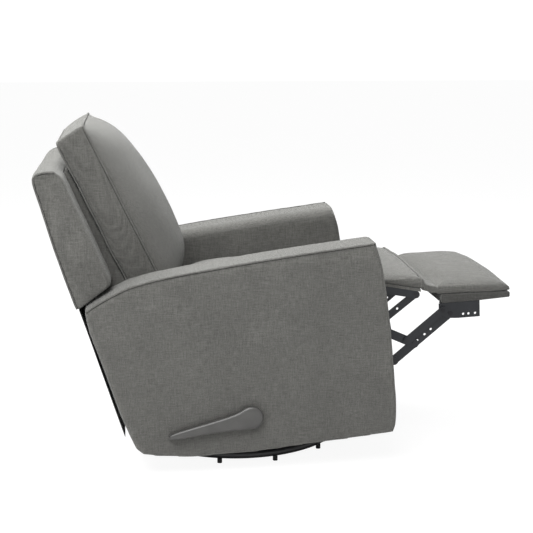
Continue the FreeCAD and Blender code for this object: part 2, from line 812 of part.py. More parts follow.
def make_side_plates():
    """The steel plates inside the arms, which carry the seat frame, the linkage, the back and the tilt pins."""

    def draw(sketch):
        edge = "seat_frame_low + seat_frame_thick - 1"
        corners = [
            ("recline_pivot_x - 28", "recline_pivot_z - 10"),
            ("tilt_pivot_x - 30", "tilt_pivot_z - 22"),
            ("handle_pivot_x + 28", "tilt_pivot_z - 22"),
            ("handle_pivot_x + 70", "lower_pivot_z - 105"),
            ("lower_pivot_x + 27", "lower_pivot_z - 33"),
            ("upper_pivot_x + 40", "upper_pivot_z - 42"),
            ("mid_pivot_x + 14", "mid_pivot_z - 18"),
            ("mid_pivot_x + 14", "mid_pivot_z + 18"),
            ("mid_pivot_x - 22", "mid_pivot_z + 18"),
            ("seat_frame_front - 15", edge),
            ("seat_frame_rear - 50", edge),
            ("recline_pivot_x - 28", "recline_pivot_z + 30"),
        ]
        draw_outline(sketch, corners)
        for place in (LOWER, UPPER, MID, ("recline_pivot_x", "recline_pivot_z")):
            draw_circle(sketch, *place, "rivet_radius")
        draw_circle(sketch, "tilt_pivot_x", "tilt_pivot_z", "tilt_pin_radius")
        draw_circle(sketch, "handle_pivot_x", "handle_pivot_z", "handle_shaft_radius + running_gap")

    plate = side_plate_body("right_seat_side_plate", SIDE_PLATE, "plate_thick", draw)
    on_seat_box(plate)
    both_sides("seat_side_plate", plate)
    centre = ("tilt_pivot_x", "tilt_pivot_z")
    pin = cylinder_along_y("right_tilt_pin", *centre, "tilt_pin_radius", PLATFORM_SIDE, ARM_INNER)
    pair("tilt_pins", pin)


def make_seat_frame():
    """A wooden frame between the side plates, with its zigzag springs."""
    half = SIDE_PLATE
    body = new_body("seat_frame")
    sketch = sketch_at(body, "XY_Plane", "seat_frame_low")
    for rail in ("0", "seat_frame_rail"):
        rear = joined("seat_frame_rear", rail)
        front = joined("seat_frame_front", f"-{rail}")
        side = joined(half, f"-{rail}")
        draw_outline(sketch, [(rear, f"-({side})"), (front, f"-({side})"), (front, side), (rear, side)])
    pad(body, sketch, "seat_frame_thick")
    on_seat_box(body)
    keep("seat_frame", body)
    start = size("seat_frame_rear + seat_frame_rail")
    end = size("seat_frame_front - seat_frame_rail")
    height = size("seat_frame_low + seat_frame_thick / 2")
    turns = int(size("seat_spring_turns"))
    tubes = []
    for number in range(int(size("seat_spring_count"))):
        middle = (number - (size("seat_spring_count") - 1) / 2) * size("seat_spring_pitch")
        tubes.append(zigzag_tube(start, end, turns, middle, height))
    keep_shape("seat_springs", Part.makeCompound(tubes), on_seat_box)


def zigzag_tube(start, end, turns, middle, height):
    """One zigzag wire along X: straight runs across, joined by half-round turns, with a bend at each end that
    brings the wire back to its middle line. The wire lies flat at a height."""
    swing = size("seat_spring_swing")
    radius = (end - start) / (2 * turns + 2)
    lead = radius * 0.4
    curl = radius - lead
    diagonal = curl * (1 - math.sqrt(0.5))
    first = Vector(start, middle, height)
    bend_start = first + Vector(lead, 0, 0)
    here = bend_start + Vector(curl, curl, 0)
    edges = [Part.makeLine(first, bend_start)]
    edges.append(Part.Arc(bend_start, bend_start + Vector(curl - diagonal, diagonal, 0), here).toShape())
    side = 1
    for number in range(turns):
        corner = Vector(here.x, middle + side * swing, height)
        across = corner + Vector(2 * radius, 0, 0)
        edges.append(Part.makeLine(here, corner))
        edges.append(Part.Arc(corner, corner + Vector(radius, side * radius, 0), across).toShape())
        here = across
        side = -side
    bend_start = Vector(here.x, middle - side * curl, height)
    bend_end = Vector(here.x + curl, middle, height)
    bend_middle = bend_end - Vector(curl - diagonal, side * diagonal, 0)
    edges.append(Part.makeLine(here, bend_start))
    edges.append(Part.Arc(bend_start, bend_middle, bend_end).toShape())
    edges.append(Part.makeLine(bend_end, bend_end + Vector(lead, 0, 0)))
    section = Part.Wire(Part.makeCircle(size("seat_spring_wire"), first, Vector(1, 0, 0)))
    return Part.Wire(edges).makePipeShell([section], True, False)


def padded_section(station, half, low, side_top, crown, direction):
    """One closed section of a cushion: flat bottom, straight sides and a crowned top, at a station along X."""
    corners = [(-half, low), (half, low), (half, side_top), (-half, side_top)]
    points = [direction(station, across, upward) for across, upward in corners]
    top = direction(station, 0, crown)
    edges = [Part.makeLine(points[0], points[1]), Part.makeLine(points[1], points[2])]
    edges.append(Part.Arc(points[2], top, points[3]).toShape())
    edges.append(Part.makeLine(points[3], points[0]))
    return Part.Wire(edges)


def padded_loft(sections, direction):
    return Part.makeLoft([padded_section(*section, direction) for section in sections], True, False)


def along_x(station, across, upward):
    return Vector(station, across, upward)


def keep_shape(label, shape, placing):
    feature = doc.addObject("Part::Feature", label)
    feature.Shape = shape
    placing(feature)
    keep(label, feature)


def make_seat_cushion():
    """A crowned seat cushion whose sides pull in between its corners."""
    rear = size("seat_cushion_rear")
    front = size("seat_cushion_front")
    half = size(SEAT_CUSHION_HALF)
    low = size("seat_cushion_low")
    side_top = size("seat_cushion_side_top")
    crown = size("seat_cushion_crown")
    sections = []
    for share in (0, 0.12, 0.5, 0.88, 1):
        swell = math.sin(math.pi * share)
        station = rear + (front - rear) * share
        top = low + (side_top - low) * (0.62 + 0.38 * min(1, 4 * swell))
        sections.append((station, half - 6 * swell, low, top, top + (crown - side_top) * (0.35 + 0.65 * swell)))
    keep_shape("seat_cushion", padded_loft(sections, along_x), on_seat_box)


def make_rear_rail():
    """The lower wooden rail between the arms, and the black cloth behind the arms."""
    body = new_body("rear_rail")
    sketch = sketch_at(body, "XZ_Plane", f"-({ARM_INNER})")
    left = "rear_rail_x"
    right = "rear_rail_x + rear_rail_thick"
    low = "rear_rail_low"
    high = "rear_rail_high"
    draw_outline(sketch, [(left, low), (right, low), (right, high), (left, high)])
    pad(body, sketch, f"2 * ({ARM_INNER})")
    on_seat_box(body)
    keep("rear_rail", body)
    cloth = new_body("rear_cloth")
    sketch = sketch_at(cloth, "XZ_Plane", f"-({REAR_CLOTH_HALF})")
    low_x = "rear_cloth_low_x"
    top_x = "rear_cloth_top_x"
    corners = [
        (low_x, "rear_cloth_low_z"),
        (f"{low_x} + rear_cloth_thick", "rear_cloth_low_z"),
        (f"{top_x} + rear_cloth_thick", "rear_cloth_top_z"),
        (top_x, "rear_cloth_top_z"),
    ]
    draw_outline(sketch, corners)
    pad(cloth, sketch, f"2 * ({REAR_CLOTH_HALF})")
    keep("rear_cloth", cloth)


def link_body(label, number, runs, holes):
    """A flat link in a layer: one rounded bar for each run between two pivots, with its rivet holes.
    A run is (start, end, half width)."""
    body = new_body(label)
    for start, end, half in runs:
        sketch = sketch_at(body, "XZ_Plane", layer(number))
        draw_bar(sketch, start, end, half, half)
        pad(body, sketch, "plate_thick")
    cut = sketch_at(body, "XZ_Plane", layer(number))
    for place, radius in holes:
        draw_circle(cut, *place, radius)
    pocket(body, cut)
    return on_seat_box(body)


def between(start, end, share):
    """A place part of the way from one pivot to another."""
    across = f"({start[0]}) * (1 - {share}) + ({end[0]}) * {share}"
    upward = f"({start[1]}) * (1 - {share}) + ({end[1]}) * {share}"
    return (across, upward)


def mid_bracket_top(across):
    """The height of the mid bracket's sloping top edge at a place along the chair."""
    slope = "(tab_reach_z / tab_reach_x)"
    return f"mid_pivot_z + {slope} * ({across} - mid_pivot_x) + thin_half_width * sqrt(1 + {slope} ^ 2)"


def make_links():
    """The flat steel links of the footrest, on each side."""
    wide = "link_half_width"
    thin = "thin_half_width"
    free = RIVET_HOLE
    tight = "rivet_radius"
    small = "foot_hole_radius"
    lower = link_body("right_lower_link", 2, [(LOWER, LOWER_KNEE, wide)], [(LOWER, free), (LOWER_KNEE, tight)])
    both_sides("lower_link", lower)
    runs = [(UPPER, UPPER_KNEE, wide), (UPPER, TAB, thin), (TAB, TAB_FOOT, thin), (UPPER_KNEE, THIN_KNEE, thin)]
    holes = [(UPPER, free), (UPPER_KNEE, tight), (THIN_KNEE, tight), (TAB, tight)]
    both_sides("upper_link", link_body("right_upper_link", 2, runs, holes))
    holes = [(LOWER_KNEE, free), (UPPER_KNEE, "rivet_radius + 3 * running_gap"), (ANKLE, tight)]
    for share in (0.42, 0.55, 0.66):
        holes.append((between(LOWER_KNEE, ANKLE, share), small))
    both_sides("long_bar", link_body("right_long_bar", 3, [(LOWER_KNEE, ANKLE, wide)], holes))
    holes = [(THIN_KNEE, free), (THIN_ANKLE, "rivet_radius + 3 * running_gap")]
    pair("thin_bars", link_body("right_thin_bar", 1, [(THIN_KNEE, THIN_ANKLE, thin)], holes))
    holes = [(TAB, free), (MID_END, "rivet_radius + 3 * running_gap"), (between(TAB, MID_END, 0.4), small)]
    pair("mid_bars", link_body("right_mid_bar", 4, [(TAB, MID_END, thin)], holes))
    bracket = link_body("right_mid_bracket", 2, [(MID, MID_END, thin)], [(MID, free), (MID_END, tight)])
    flange = sketch_at(bracket, "XZ_Plane", joined(layer(2), "-mid_flange_width"))
    rear = "mid_board_rear_x"
    front = "mid_board_rear_x + mid_flange_reach"
    under = [mid_bracket_top(across) for across in (rear, front)]
    draw_outline(flange, [
        (rear, f"{under[0]} - plate_thick"),
        (front, f"{under[1]} - plate_thick"),
        (front, under[1]),
        (rear, under[0]),
    ])
    pad(bracket, flange, "mid_flange_width + plate_thick")
    pair("mid_brackets", bracket)


def make_foot_brackets():
    """The footrest brackets: a plate with a row of spare holes, and a flange bent in under the board."""
    body = new_body("right_foot_bracket")
    plate = sketch_at(body, "XZ_Plane", layer(2))
    low = "foot_bracket_low_z"
    top = "foot_bracket_top_z"
    step_z = joined(ANKLE[1], "-link_half_width")
    corners = [
        (joined(THIN_ANKLE[0], "-thin_half_width"), top),
        (joined(THIN_ANKLE[0], "-thin_half_width"), joined(THIN_ANKLE[1], "-thin_half_width")),
        (joined(ANKLE[0], "-link_half_width"), step_z),
        (joined(ANKLE[0], "link_half_width + 8"), low),
        ("foot_bracket_front_x", low),
        ("foot_bracket_front_x", top),
    ]
    draw_outline(plate, corners)
    pad(body, plate, "plate_thick")
    flange = sketch_at(body, "XZ_Plane", joined(layer(2), "-foot_bracket_flange"))
    left = "foot_board_rear_x"
    right = "foot_bracket_front_x"
    under = f"{top} - plate_thick"
    draw_outline(flange, [(left, under), (right, under), (right, top), (left, top)])
    pad(body, flange, "foot_bracket_flange + plate_thick")
    holes = sketch_at(body, "XZ_Plane", layer(2))
    draw_circle(holes, *ANKLE, RIVET_HOLE)
    draw_circle(holes, *THIN_ANKLE, "rivet_radius")
    for reach in ("14", "34", "50"):
        draw_circle(holes, f"foot_bracket_front_x - {reach}", "foot_bracket_low_z + 11", "foot_hole_radius")
    pocket(body, holes)
    pair("footrest_brackets", on_seat_box(body))


def make_footrest():
    """The footrest board on its brackets, and the crowned pad on the board."""
    board = new_body("footrest_board")
    sketch = sketch_at(board, "XZ_Plane", f"-({FOOTREST_HALF})")
    low = "foot_bracket_top_z"
    top = "foot_board_top_z"
    left = "foot_board_rear_x"
    right = "foot_board_front_x"
    draw_outline(sketch, [(left, low), (right, low), (right, f"{top} - foot_board_fall"), (left, top)])
    pad(board, sketch, f"2 * ({FOOTREST_HALF})")
    on_seat_box(board)
    keep("footrest_board", board)
    rear = size("foot_pad_rear_x")
    front = size("foot_pad_front_x")
    half = size(FOOTREST_HALF)
    board_slope = size("foot_board_fall / (foot_board_front_x - foot_board_rear_x)")
    rise = size("foot_pad_crown_z - foot_pad_edge_z")
    sections = []
    for share, lift in ((0, 0.3), (0.12, 0.85), (0.4, 1), (0.66, 1), (0.87, 0.65), (1, 0.1)):
        station = rear + (front - rear) * share
        fall = board_slope * (station - size("foot_board_rear_x"))
        low = size("foot_board_top_z + soft_gap") - fall
        side_top = size("foot_pad_edge_z") - fall - (1 - lift) * size("foot_board_fall")
        sections.append((station, half - 4 * math.sin(math.pi * share), low, side_top, side_top + rise * lift))
    keep_shape("footrest_pad", padded_loft(sections, along_x), on_seat_box)


def make_mid_rest():
    """The mid pad between the seat and the footrest, on a thin board that lies on the mid brackets."""
    rear = "mid_board_rear_x"
    front = "mid_board_front_x"
    body = new_body("mid_board")
    sketch = sketch_at(body, "XZ_Plane", f"-({MID_PAD_HALF})")
    start_low = mid_bracket_top(rear)
    end_low = mid_bracket_top(front)
    draw_outline(sketch, [
        (rear, start_low),
        (front, end_low),
        (front, f"{end_low} + mid_board_thick"),
        (rear, f"{start_low} + mid_board_thick"),
    ])
    pad(body, sketch, f"2 * ({MID_PAD_HALF})")
    on_seat_box(body)
    keep("mid_board", body)
    half = size(MID_PAD_HALF)
    high = size("mid_pad_top_z")
    start = size("mid_pad_rear_x")
    end = size("mid_pad_front_x")
    sections = []
    for share, lift in ((0, 0.5), (0.3, 0.95), (0.7, 1), (1, 0.75)):
        station = start + (end - start) * share
        base = size(mid_bracket_top(f"{station:.6f}")) + size("mid_board_thick + soft_gap")
        side_top = base + (high - base) * 0.55
        sections.append((station, half, base, side_top, side_top + (high - side_top) * lift))
    keep_shape("mid_pad", padded_loft(sections, along_x), on_seat_box)


def rivet_through(label, place, inner_layer, outer_layer):
    """A rivet from one layer's inner face to another layer's outer face. Layer 0 is the seat side plate."""
    inner = layer(inner_layer)
    outer = joined(layer(outer_layer), "plate_thick")
    thick = "rivet_head_thick"
    if outer_layer == 0:
        shank = cylinder_along_y(label, *place, "rivet_radius", inner, outer)
        head = cylinder_along_y(label + "_head", *place, "rivet_head_radius", f"({inner}) - {thick}", inner)
        return on_rivet(join_features(label + "_rivet", [shank, head]))
    shank = "rivet_radius"
    return on_rivet(headed_pin(label, *place, shank, "rivet_head_radius", inner, outer, thick))


def on_rivet(feature):
    doc.recompute()
    return on_seat_box(feature)


def rivet_set(label, rivets):
    members = []
    for number, (place, inner_layer, outer_layer) in enumerate(rivets):
        right = rivet_through(f"{label}_{number}", place, inner_layer, outer_layer)
        members += [right, left_of(f"{label}_{number}_left", right)]
    group(label, members)


def make_rivets():
    """Rivets, each set with the part that it is clenched to."""
    rivet_set("side_plate_rivets", [(LOWER, 2, 0), (UPPER, 2, 0), (MID, 2, 0)])
    rivet_set("lower_link_rivets", [(LOWER_KNEE, 3, 2)])
    rivet_set("upper_link_rivets", [(UPPER_KNEE, 3, 2), (THIN_KNEE, 2, 1), (TAB, 4, 2)])
    rivet_set("long_bar_rivets", [(ANKLE, 3, 2)])
    rivet_set("footrest_rivets", [(THIN_ANKLE, 2, 1)])
    rivet_set("mid_rest_rivets", [(MID_END, 4, 2)])


def make_torque_tube():
    """A square tube that joins the two lower links, so that both sides move together."""
    reach = math.hypot(size("link_reach_x"), size("link_reach_z"))
    share = size("torque_tube_reach") / reach
    across, upward = between(LOWER, LOWER_KNEE, share)
    body = new_body("torque_tube")
    sketch = sketch_at(body, "XZ_Plane", f"-({layer(2)})")
    for wall in ("0", "torque_tube_wall"):
        half = f"(torque_tube_side / 2 - {wall})"
        corners = [
            (f"{across} - {half}", f"{upward} - {half}"),
            (f"{across} + {half}", f"{upward} - {half}"),
            (f"{across} + {half}", f"{upward} + {half}"),
            (f"{across} - {half}", f"{upward} + {half}"),
        ]
        draw_outline(sketch, corners)
    pad(body, sketch, f"2 * ({layer(2)})")
    on_seat_box(body)
    keep("torque_tube", body)


def make_handle():
    """The release handle outside the right arm: a moulded lever on a steel shaft, with a crank inside."""
    pivot = ("handle_pivot_x", "handle_pivot_z")
    tip_x = "handle_pivot_x - (handle_length - handle_tip_radius) * cos(handle_angle)"
    tip_z = "handle_pivot_z - (handle_length - handle_tip_radius) * sin(handle_angle)"
    face = "overall_width / 2 + handle_gap"

    def draw(sketch):
        draw_bar(sketch, pivot, (tip_x, tip_z), "handle_root_radius", "handle_tip_radius")

    def on_face(depth):
        outer = -size(joined(face, depth))
        return lambda edge: max(abs(edge.BoundBox.YMin - outer), abs(edge.BoundBox.YMax - outer)) < 0.01

    blade = "handle_thick - handle_hub_step"
    lever = side_plate_body("release_handle", face, blade, draw)
    round_edges(lever, "handle_edge_round", on_face(blade))
    hub = sketch_at(lever, "XZ_Plane", face)
    draw_circle(hub, *pivot, "handle_hub_radius")
    pad(lever, hub, "handle_thick")
    round_edges(lever, "handle_hub_round", on_face("handle_thick"))
    shaft_hole_blind = sketch_at(lever, "XZ_Plane", face)
    draw_circle(shaft_hole_blind, *pivot, "handle_shaft_radius")
    pocket(lever, shaft_hole_blind, "handle_thick - 6")
    on_seat_box(lever)
    keep("release_handle", lever)
    shaft = cylinder_along_y(
        "handle_shaft", *pivot, "handle_shaft_radius", layer(2), joined(face, "handle_thick - 6")
    )
    on_turned_shaft(shaft)
    end = ("handle_pivot_x + handle_crank_length", "handle_pivot_z")
    crank = link_body("handle_crank", 2, [(pivot, end, "link_half_width")],
                      [(pivot, "handle_shaft_radius"), (end, "rivet_radius")])
    keep("handle_crank", crank)


def on_turned_shaft(shaft):
    """Carries the plain handle shaft with the tipped seat box. A round shaft needs only its centre moved."""
    turned = "handle_pivot_x - tilt_pivot_x"
    raised = "handle_pivot_z - tilt_pivot_z"
    shaft.setExpression(
        "Placement.Base.x", linked(f"tilt_pivot_x + ({turned}) * cos(seat_tilt) - ({raised}) * sin(seat_tilt)")
    )
    shaft.setExpression(
        "Placement.Base.z", linked(f"tilt_pivot_z + ({turned}) * sin(seat_tilt) + ({raised}) * cos(seat_tilt)")
    )
    keep("handle_shaft", shaft)


def make_back_cover():
    """The upholstered outer back: a wing over each arm, and a panel that runs down between them."""
    body = side_plate_body("outer_back_cover", f"-({BACK_HALF})", f"2 * ({BACK_HALF})", lambda sketch: draw_outline(sketch, [
        ("0", "0"),
        ("back_depth_low", "back_front_low"),
        ("back_depth_top", "back_top_front"),
        ("0", "back_top_rear"),
    ]))
    top = size("back_top_front")

    def top_edge(edge):
        return edge.BoundBox.ZMin > top - 1 and edge.BoundBox.YLength > 10

    round_edges(body, "back_round", top_edge)
    cavity = sketch_at(body, "XZ_Plane", f"-({BACK_PANEL_HALF} + 6)")
    left = "back_panel_thick"
    right = "back_depth_low + 40"
    low = "-back_front_low"
    draw_outline(cavity, [(left, low), (right, low), (right, "back_cavity_top"), (left, "back_cavity_top")])
    pocket(body, cavity, f"2 * ({BACK_PANEL_HALF} + 6)")
    on_back(body)
    keep("outer_back_cover", body)


POST_OUTER = layer(1)


def make_back_frame():
    """The wooden back frame: two posts and three rails, with zigzag springs between the rails."""
    body = new_body("back_frame")
    rear = "back_panel_thick + soft_gap"
    front = "back_post_front"
    top = "back_cavity_top - soft_gap"
    post_inner = f"{POST_OUTER} - back_post_width"
    lows = ("-20", "back_cavity_top / 2 - 20", f"{top} - back_rail_height")
    boxes = [(f"-({POST_OUTER})", POST_OUTER, low, f"{low} + back_rail_height") for low in lows]
    foot = "back_post_low"
    boxes += [(post_inner, POST_OUTER, foot, top), (f"-({POST_OUTER})", f"-({post_inner})", foot, top)]
    for left, right, low, high in boxes:
        if body.Tip is not None and low == lows[1]:
            body.AllowCompound = True
        sketch = sketch_at(body, "YZ_Plane", rear)
        draw_outline(sketch, [(left, low), (right, low), (right, high), (left, high)])
        pad(body, sketch, f"{front} - ({rear})")
    on_back(body)
    keep("back_frame", body)
    depth = size(f"(({rear}) + {front}) / 2")
    tubes = []
    for lower, upper in ((lows[0], lows[1]), (lows[1], lows[2])):
        start = size(f"{lower} + back_rail_height")
        for number in range(int(size("back_spring_count"))):
            middle = (number - (size("back_spring_count") - 1) / 2) * size("back_spring_pitch")
            tubes.append(zigzag_tube(start, size(upper), int(size("back_spring_turns")), middle, -depth))
    springs = Part.makeCompound(tubes)
    springs.rotate(Vector(0, 0, 0), Vector(0, 1, 0), -90)
    keep_shape("back_springs", Part.makeCompound([solid.copy() for solid in springs.Solids]), on_back)


def make_back_filler():
    """The narrower padded block between the outer back and the cushion."""
    half = joined(BACK_PANEL_HALF, "-3")
    body = side_plate_body("back_filler", f"-({half})", f"2 * ({half})", lambda sketch: draw_outline(sketch, [
        ("filler_rear", "filler_low"),
        ("filler_depth_low + 12", "filler_low"),
        ("filler_depth_top", "filler_top"),
        ("back_depth_top + back_seam_gap", "filler_top"),
        ("back_depth_top + back_seam_gap", "back_cavity_top - soft_gap"),
        ("filler_rear", "back_cavity_top - soft_gap"),
    ]))
    on_back(body)
    keep("back_filler", body)


def make_back_cushion():
    """The back cushion: a boxing all round, a deep crown in front and a shallow bow behind."""
    low = size("cushion_low")
    top = size("cushion_top")
    boxing = size("cushion_boxing")
    crown = size("cushion_crown")
    bow = size("cushion_rear_bow")
    half_top = size(CUSHION_HALF)
    half_low = size(CUSHION_HALF_LOW)
    sections = []
    for share in (0, 0.1, 0.3, 0.55, 0.8, 0.94, 1):
        swell = math.sin(math.pi * share) ** 0.7
        height = low + (top - low) * share
        half = half_low + (half_top - half_low) * min(1, share / 0.5) - 5 * math.sin(math.pi * share)
        front = boxing + (6 if share < 0.5 else 0)
        reach = front + crown * (0.12 + 0.88 * swell)
        rear_line = [Vector(0, -half, height), Vector(-bow * swell - 1, 0, height), Vector(0, half, height)]
        front_line = [Vector(front, half, height), Vector(reach, 0, height), Vector(front, -half, height)]
        edges = [
            Part.Arc(*rear_line).toShape(),
            Part.makeLine(rear_line[2], front_line[0]),
            Part.Arc(*front_line).toShape(),
            Part.makeLine(front_line[2], rear_line[0]),
        ]
        sections.append(Part.Wire(edges))

    def placing(feature):
        turn_and_move(feature, "cushion_lean", "0", "0", "cushion_origin_x", "cushion_origin_z")

    keep_shape("back_cushion", Part.makeLoft(sections, True, False), placing)


def make_back_brackets():
    """Steel brackets that carry the back on its two recline pins."""
    pivot_x, pivot_z = recline_place_in_back()
    body = new_body("back_bracket")
    pivot = (f"{pivot_x:.6f}", f"{pivot_z:.6f}")
    bend = ("bracket_bend_x", "bracket_bend_z")
    top = ("bracket_bend_x", "bracket_top_z")
    inner = layer(1)
    for start, end in ((pivot, bend), (bend, top)):
        sketch = sketch_at(body, "XZ_Plane", inner)
        draw_bar(sketch, start, end, "link_half_width", "link_half_width")
        pad(body, sketch, "plate_thick")
    hole = sketch_at(body, "XZ_Plane", inner)
    draw_circle(hole, *pivot, RIVET_HOLE)
    pocket(body, hole)
    on_back(body)
    pair("back_brackets", body)
    place = ("recline_pivot_x", "recline_pivot_z")
    shank = cylinder_along_y("recline_pin", *place, "rivet_radius", inner, ARM_INNER)
    head = cylinder_along_y("recline_head", "recline_pivot_x", "recline_pivot_z", "rivet_head_radius",
                            joined(inner, "-rivet_head_thick"), inner)
    pin = on_rivet(join_features("right_recline_pin", [shank, head]))
    pair("recline_pins", pin)


def recline_place_in_back():
    """The recline pivot, which is given on the level seat box, in the back's own upright place."""
    tilt = math.radians(size("seat_tilt"))
    lean = math.radians(size("back_lean"))
    from_x = size("recline_pivot_x - tilt_pivot_x")
    from_z = size("recline_pivot_z - tilt_pivot_z")
    step_x = size("tilt_pivot_x - back_origin_x") + from_x * math.cos(tilt) - from_z * math.sin(tilt)
    step_z = size("tilt_pivot_z - back_origin_z") + from_x * math.sin(tilt) + from_z * math.cos(tilt)
    across = step_x * math.cos(lean) + step_z * math.sin(lean)
    upward = step_z * math.cos(lean) - step_x * math.sin(lean)
    return across, upward


def check_document():
    doc.recompute()
    for feature in doc.Objects:
        if "Invalid" in feature.State or "Error" in feature.State:
            raise RuntimeError(f"{feature.Label} failed: {feature.State}")
    for feature in sub_parts:
        if feature.Shape.isNull() or not feature.Shape.isValid():
            raise RuntimeError(f"{feature.Label} has no valid shape")


make_ring()
make_glides()
make_cross_arms()
make_swivel()
make_glider_base()
make_hangers()
make_platform()
make_arms()
make_side_plates()
make_seat_frame()
make_seat_cushion()
make_rear_rail()
make_links()
make_foot_brackets()
make_footrest()
make_mid_rest()
make_rivets()
make_torque_tube()
make_handle()
make_back_cover()
make_back_frame()
make_back_filler()
make_back_cushion()
make_back_brackets()
check_document()

os.makedirs("parts", exist_ok=True)
for feature in sub_parts:
    feature.Shape.exportStep(f"parts/{feature.Label}.step")
    print(feature.Label, len(feature.Shape.Solids), round(feature.Shape.Volume / 1000, 1), "cm3")
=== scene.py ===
import math

import bmesh
import bpy
import numpy as np
from mathutils import Matrix, Vector, noise
from mathutils.bvhtree import BVHTree
from mathutils.kdtree import KDTree


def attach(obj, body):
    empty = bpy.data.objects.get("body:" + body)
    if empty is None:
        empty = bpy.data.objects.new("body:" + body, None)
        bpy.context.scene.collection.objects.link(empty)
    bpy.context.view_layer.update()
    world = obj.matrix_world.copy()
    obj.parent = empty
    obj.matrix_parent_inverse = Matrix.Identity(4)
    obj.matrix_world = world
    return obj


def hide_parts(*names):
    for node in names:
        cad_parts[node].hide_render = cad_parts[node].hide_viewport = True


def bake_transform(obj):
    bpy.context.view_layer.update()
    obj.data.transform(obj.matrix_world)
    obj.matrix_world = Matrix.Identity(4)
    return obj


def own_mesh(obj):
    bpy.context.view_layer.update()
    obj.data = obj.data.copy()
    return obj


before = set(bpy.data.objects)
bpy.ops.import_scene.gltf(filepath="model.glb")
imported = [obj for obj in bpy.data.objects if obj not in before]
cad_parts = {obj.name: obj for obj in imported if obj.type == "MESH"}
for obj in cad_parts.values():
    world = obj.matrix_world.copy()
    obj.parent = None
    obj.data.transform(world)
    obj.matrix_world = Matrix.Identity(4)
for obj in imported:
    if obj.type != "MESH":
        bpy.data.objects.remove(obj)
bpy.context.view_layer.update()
scene = bpy.context.scene
scene.view_settings.view_transform = "Standard"

# Camera
# A long lens a little above the arm, to the right of the chair and just behind its middle. It looks down by
# 11.4 degrees and turns 7.1 degrees towards the footrest.
photograph = bpy.data.cameras.new("photograph")
photograph.sensor_width = 36
photograph.lens = 76.2
camera = bpy.data.objects.new("photograph", photograph)
camera.location = (-0.327, -3.375, 1.196)
camera.rotation_euler = (math.radians(90 - 11.37), 0, math.radians(-7.09))
scene.collection.objects.link(camera)
scene.camera = camera

# Floor and studio light
# A pale seamless floor under a white sky, one wide soft lamp overhead and two weaker ones on the near side.
# The floor and the sky look white to the lens, and the floor keeps a soft shadow.
floor_mesh = bpy.data.meshes.new("floor")
floor_shape = bmesh.new()
bmesh.ops.create_grid(floor_shape, x_segments=1, y_segments=1, size=30)
floor_shape.to_mesh(floor_mesh)
floor_shape.free()
floor = bpy.data.objects.new("floor", floor_mesh)
floor.location.z = -0.0005
scene.collection.objects.link(floor)

pale_floor = bpy.data.materials.new("pale_floor")
pale_floor.use_nodes = True
nodes = pale_floor.node_tree.nodes
links = pale_floor.node_tree.links
nodes.clear()
painted = nodes.new("ShaderNodeBsdfDiffuse")
painted.inputs["Color"].default_value = (0.82, 0.82, 0.82, 1)
bright = nodes.new("ShaderNodeEmission")
bright.inputs["Strength"].default_value = 1.15
seen = nodes.new("ShaderNodeLightPath")
share = nodes.new("ShaderNodeMath")
share.operation = "MULTIPLY"
share.inputs[1].default_value = 0.8
floor_mix = nodes.new("ShaderNodeMixShader")
floor_out = nodes.new("ShaderNodeOutputMaterial")
links.new(seen.outputs["Is Camera Ray"], share.inputs[0])
links.new(share.outputs[0], floor_mix.inputs[0])
links.new(painted.outputs[0], floor_mix.inputs[1])
links.new(bright.outputs[0], floor_mix.inputs[2])
links.new(floor_mix.outputs[0], floor_out.inputs[0])
floor_mesh.materials.append(pale_floor)

sky = bpy.data.worlds.new("studio")
scene.world = sky
sky.use_nodes = True
nodes = sky.node_tree.nodes
links = sky.node_tree.links
nodes.clear()
fill = nodes.new("ShaderNodeBackground")
fill.inputs["Color"].default_value = (1, 1, 1, 1)
fill.inputs["Strength"].default_value = 0.33
white = nodes.new("ShaderNodeBackground")
white.inputs["Color"].default_value = (1, 1, 1, 1)
white.inputs["Strength"].default_value = 1.02
seen = nodes.new("ShaderNodeLightPath")
either = nodes.new("ShaderNodeMath")
either.operation = "MAXIMUM"
sky_mix = nodes.new("ShaderNodeMixShader")
sky_out = nodes.new("ShaderNodeOutputWorld")
links.new(seen.outputs["Is Camera Ray"], either.inputs[0])
links.new(seen.outputs["Is Glossy Ray"], either.inputs[1])
links.new(either.outputs[0], sky_mix.inputs[0])
links.new(fill.outputs[0], sky_mix.inputs[1])
links.new(white.outputs[0], sky_mix.inputs[2])
links.new(sky_mix.outputs[0], sky_out.inputs[0])


def soft_lamp(name, place, target, width, height, power):
    lamp = bpy.data.lights.new(name, "AREA")
    lamp.shape = "RECTANGLE"
    lamp.size = width
    lamp.size_y = height
    lamp.energy = power
    holder = bpy.data.objects.new(name, lamp)
    holder.location = place
    holder.rotation_euler = (Vector(target) - Vector(place)).to_track_quat("-Z", "Y").to_euler()
    scene.collection.objects.link(holder)


soft_lamp("overhead", (-0.8, 0.7, 3.2), (0.2, 0, 0.4), width=2.2, height=2.0, power=165)
soft_lamp("near_high", (-0.9, -2.2, 2.7), (0.1, 0.2, 0.5), width=2.2, height=1.4, power=88)
soft_lamp("near_side", (-1.4, -3.4, 1.3), (0, 0, 0.4), width=2.0, height=1.6, power=6)


# Painted steel of the base and the footrest linkage
# The ring, the cross arms, the swivel plates and the glider are bent and welded mild steel under black
# powder coat. The flat links are stamped strip with a thin blue-black coat that catches more light on its
# edges.
def shader_of(material):
    return material.node_tree.nodes["Principled BSDF"]


def new_material(name, colour, roughness, metallic=0.0):
    material = bpy.data.materials.new(name)
    material.use_nodes = True
    shader = shader_of(material)
    shader.inputs["Base Color"].default_value = (*colour, 1)
    shader.inputs["Roughness"].default_value = roughness
    shader.inputs["Metallic"].default_value = metallic
    return material


def add_node(material, kind, **settings):
    node = material.node_tree.nodes.new("ShaderNode" + kind)
    for name, value in settings.items():
        if hasattr(node, name):
            setattr(node, name, value)
        else:
            node.inputs[name.replace("_", " ").title()].default_value = value
    return node


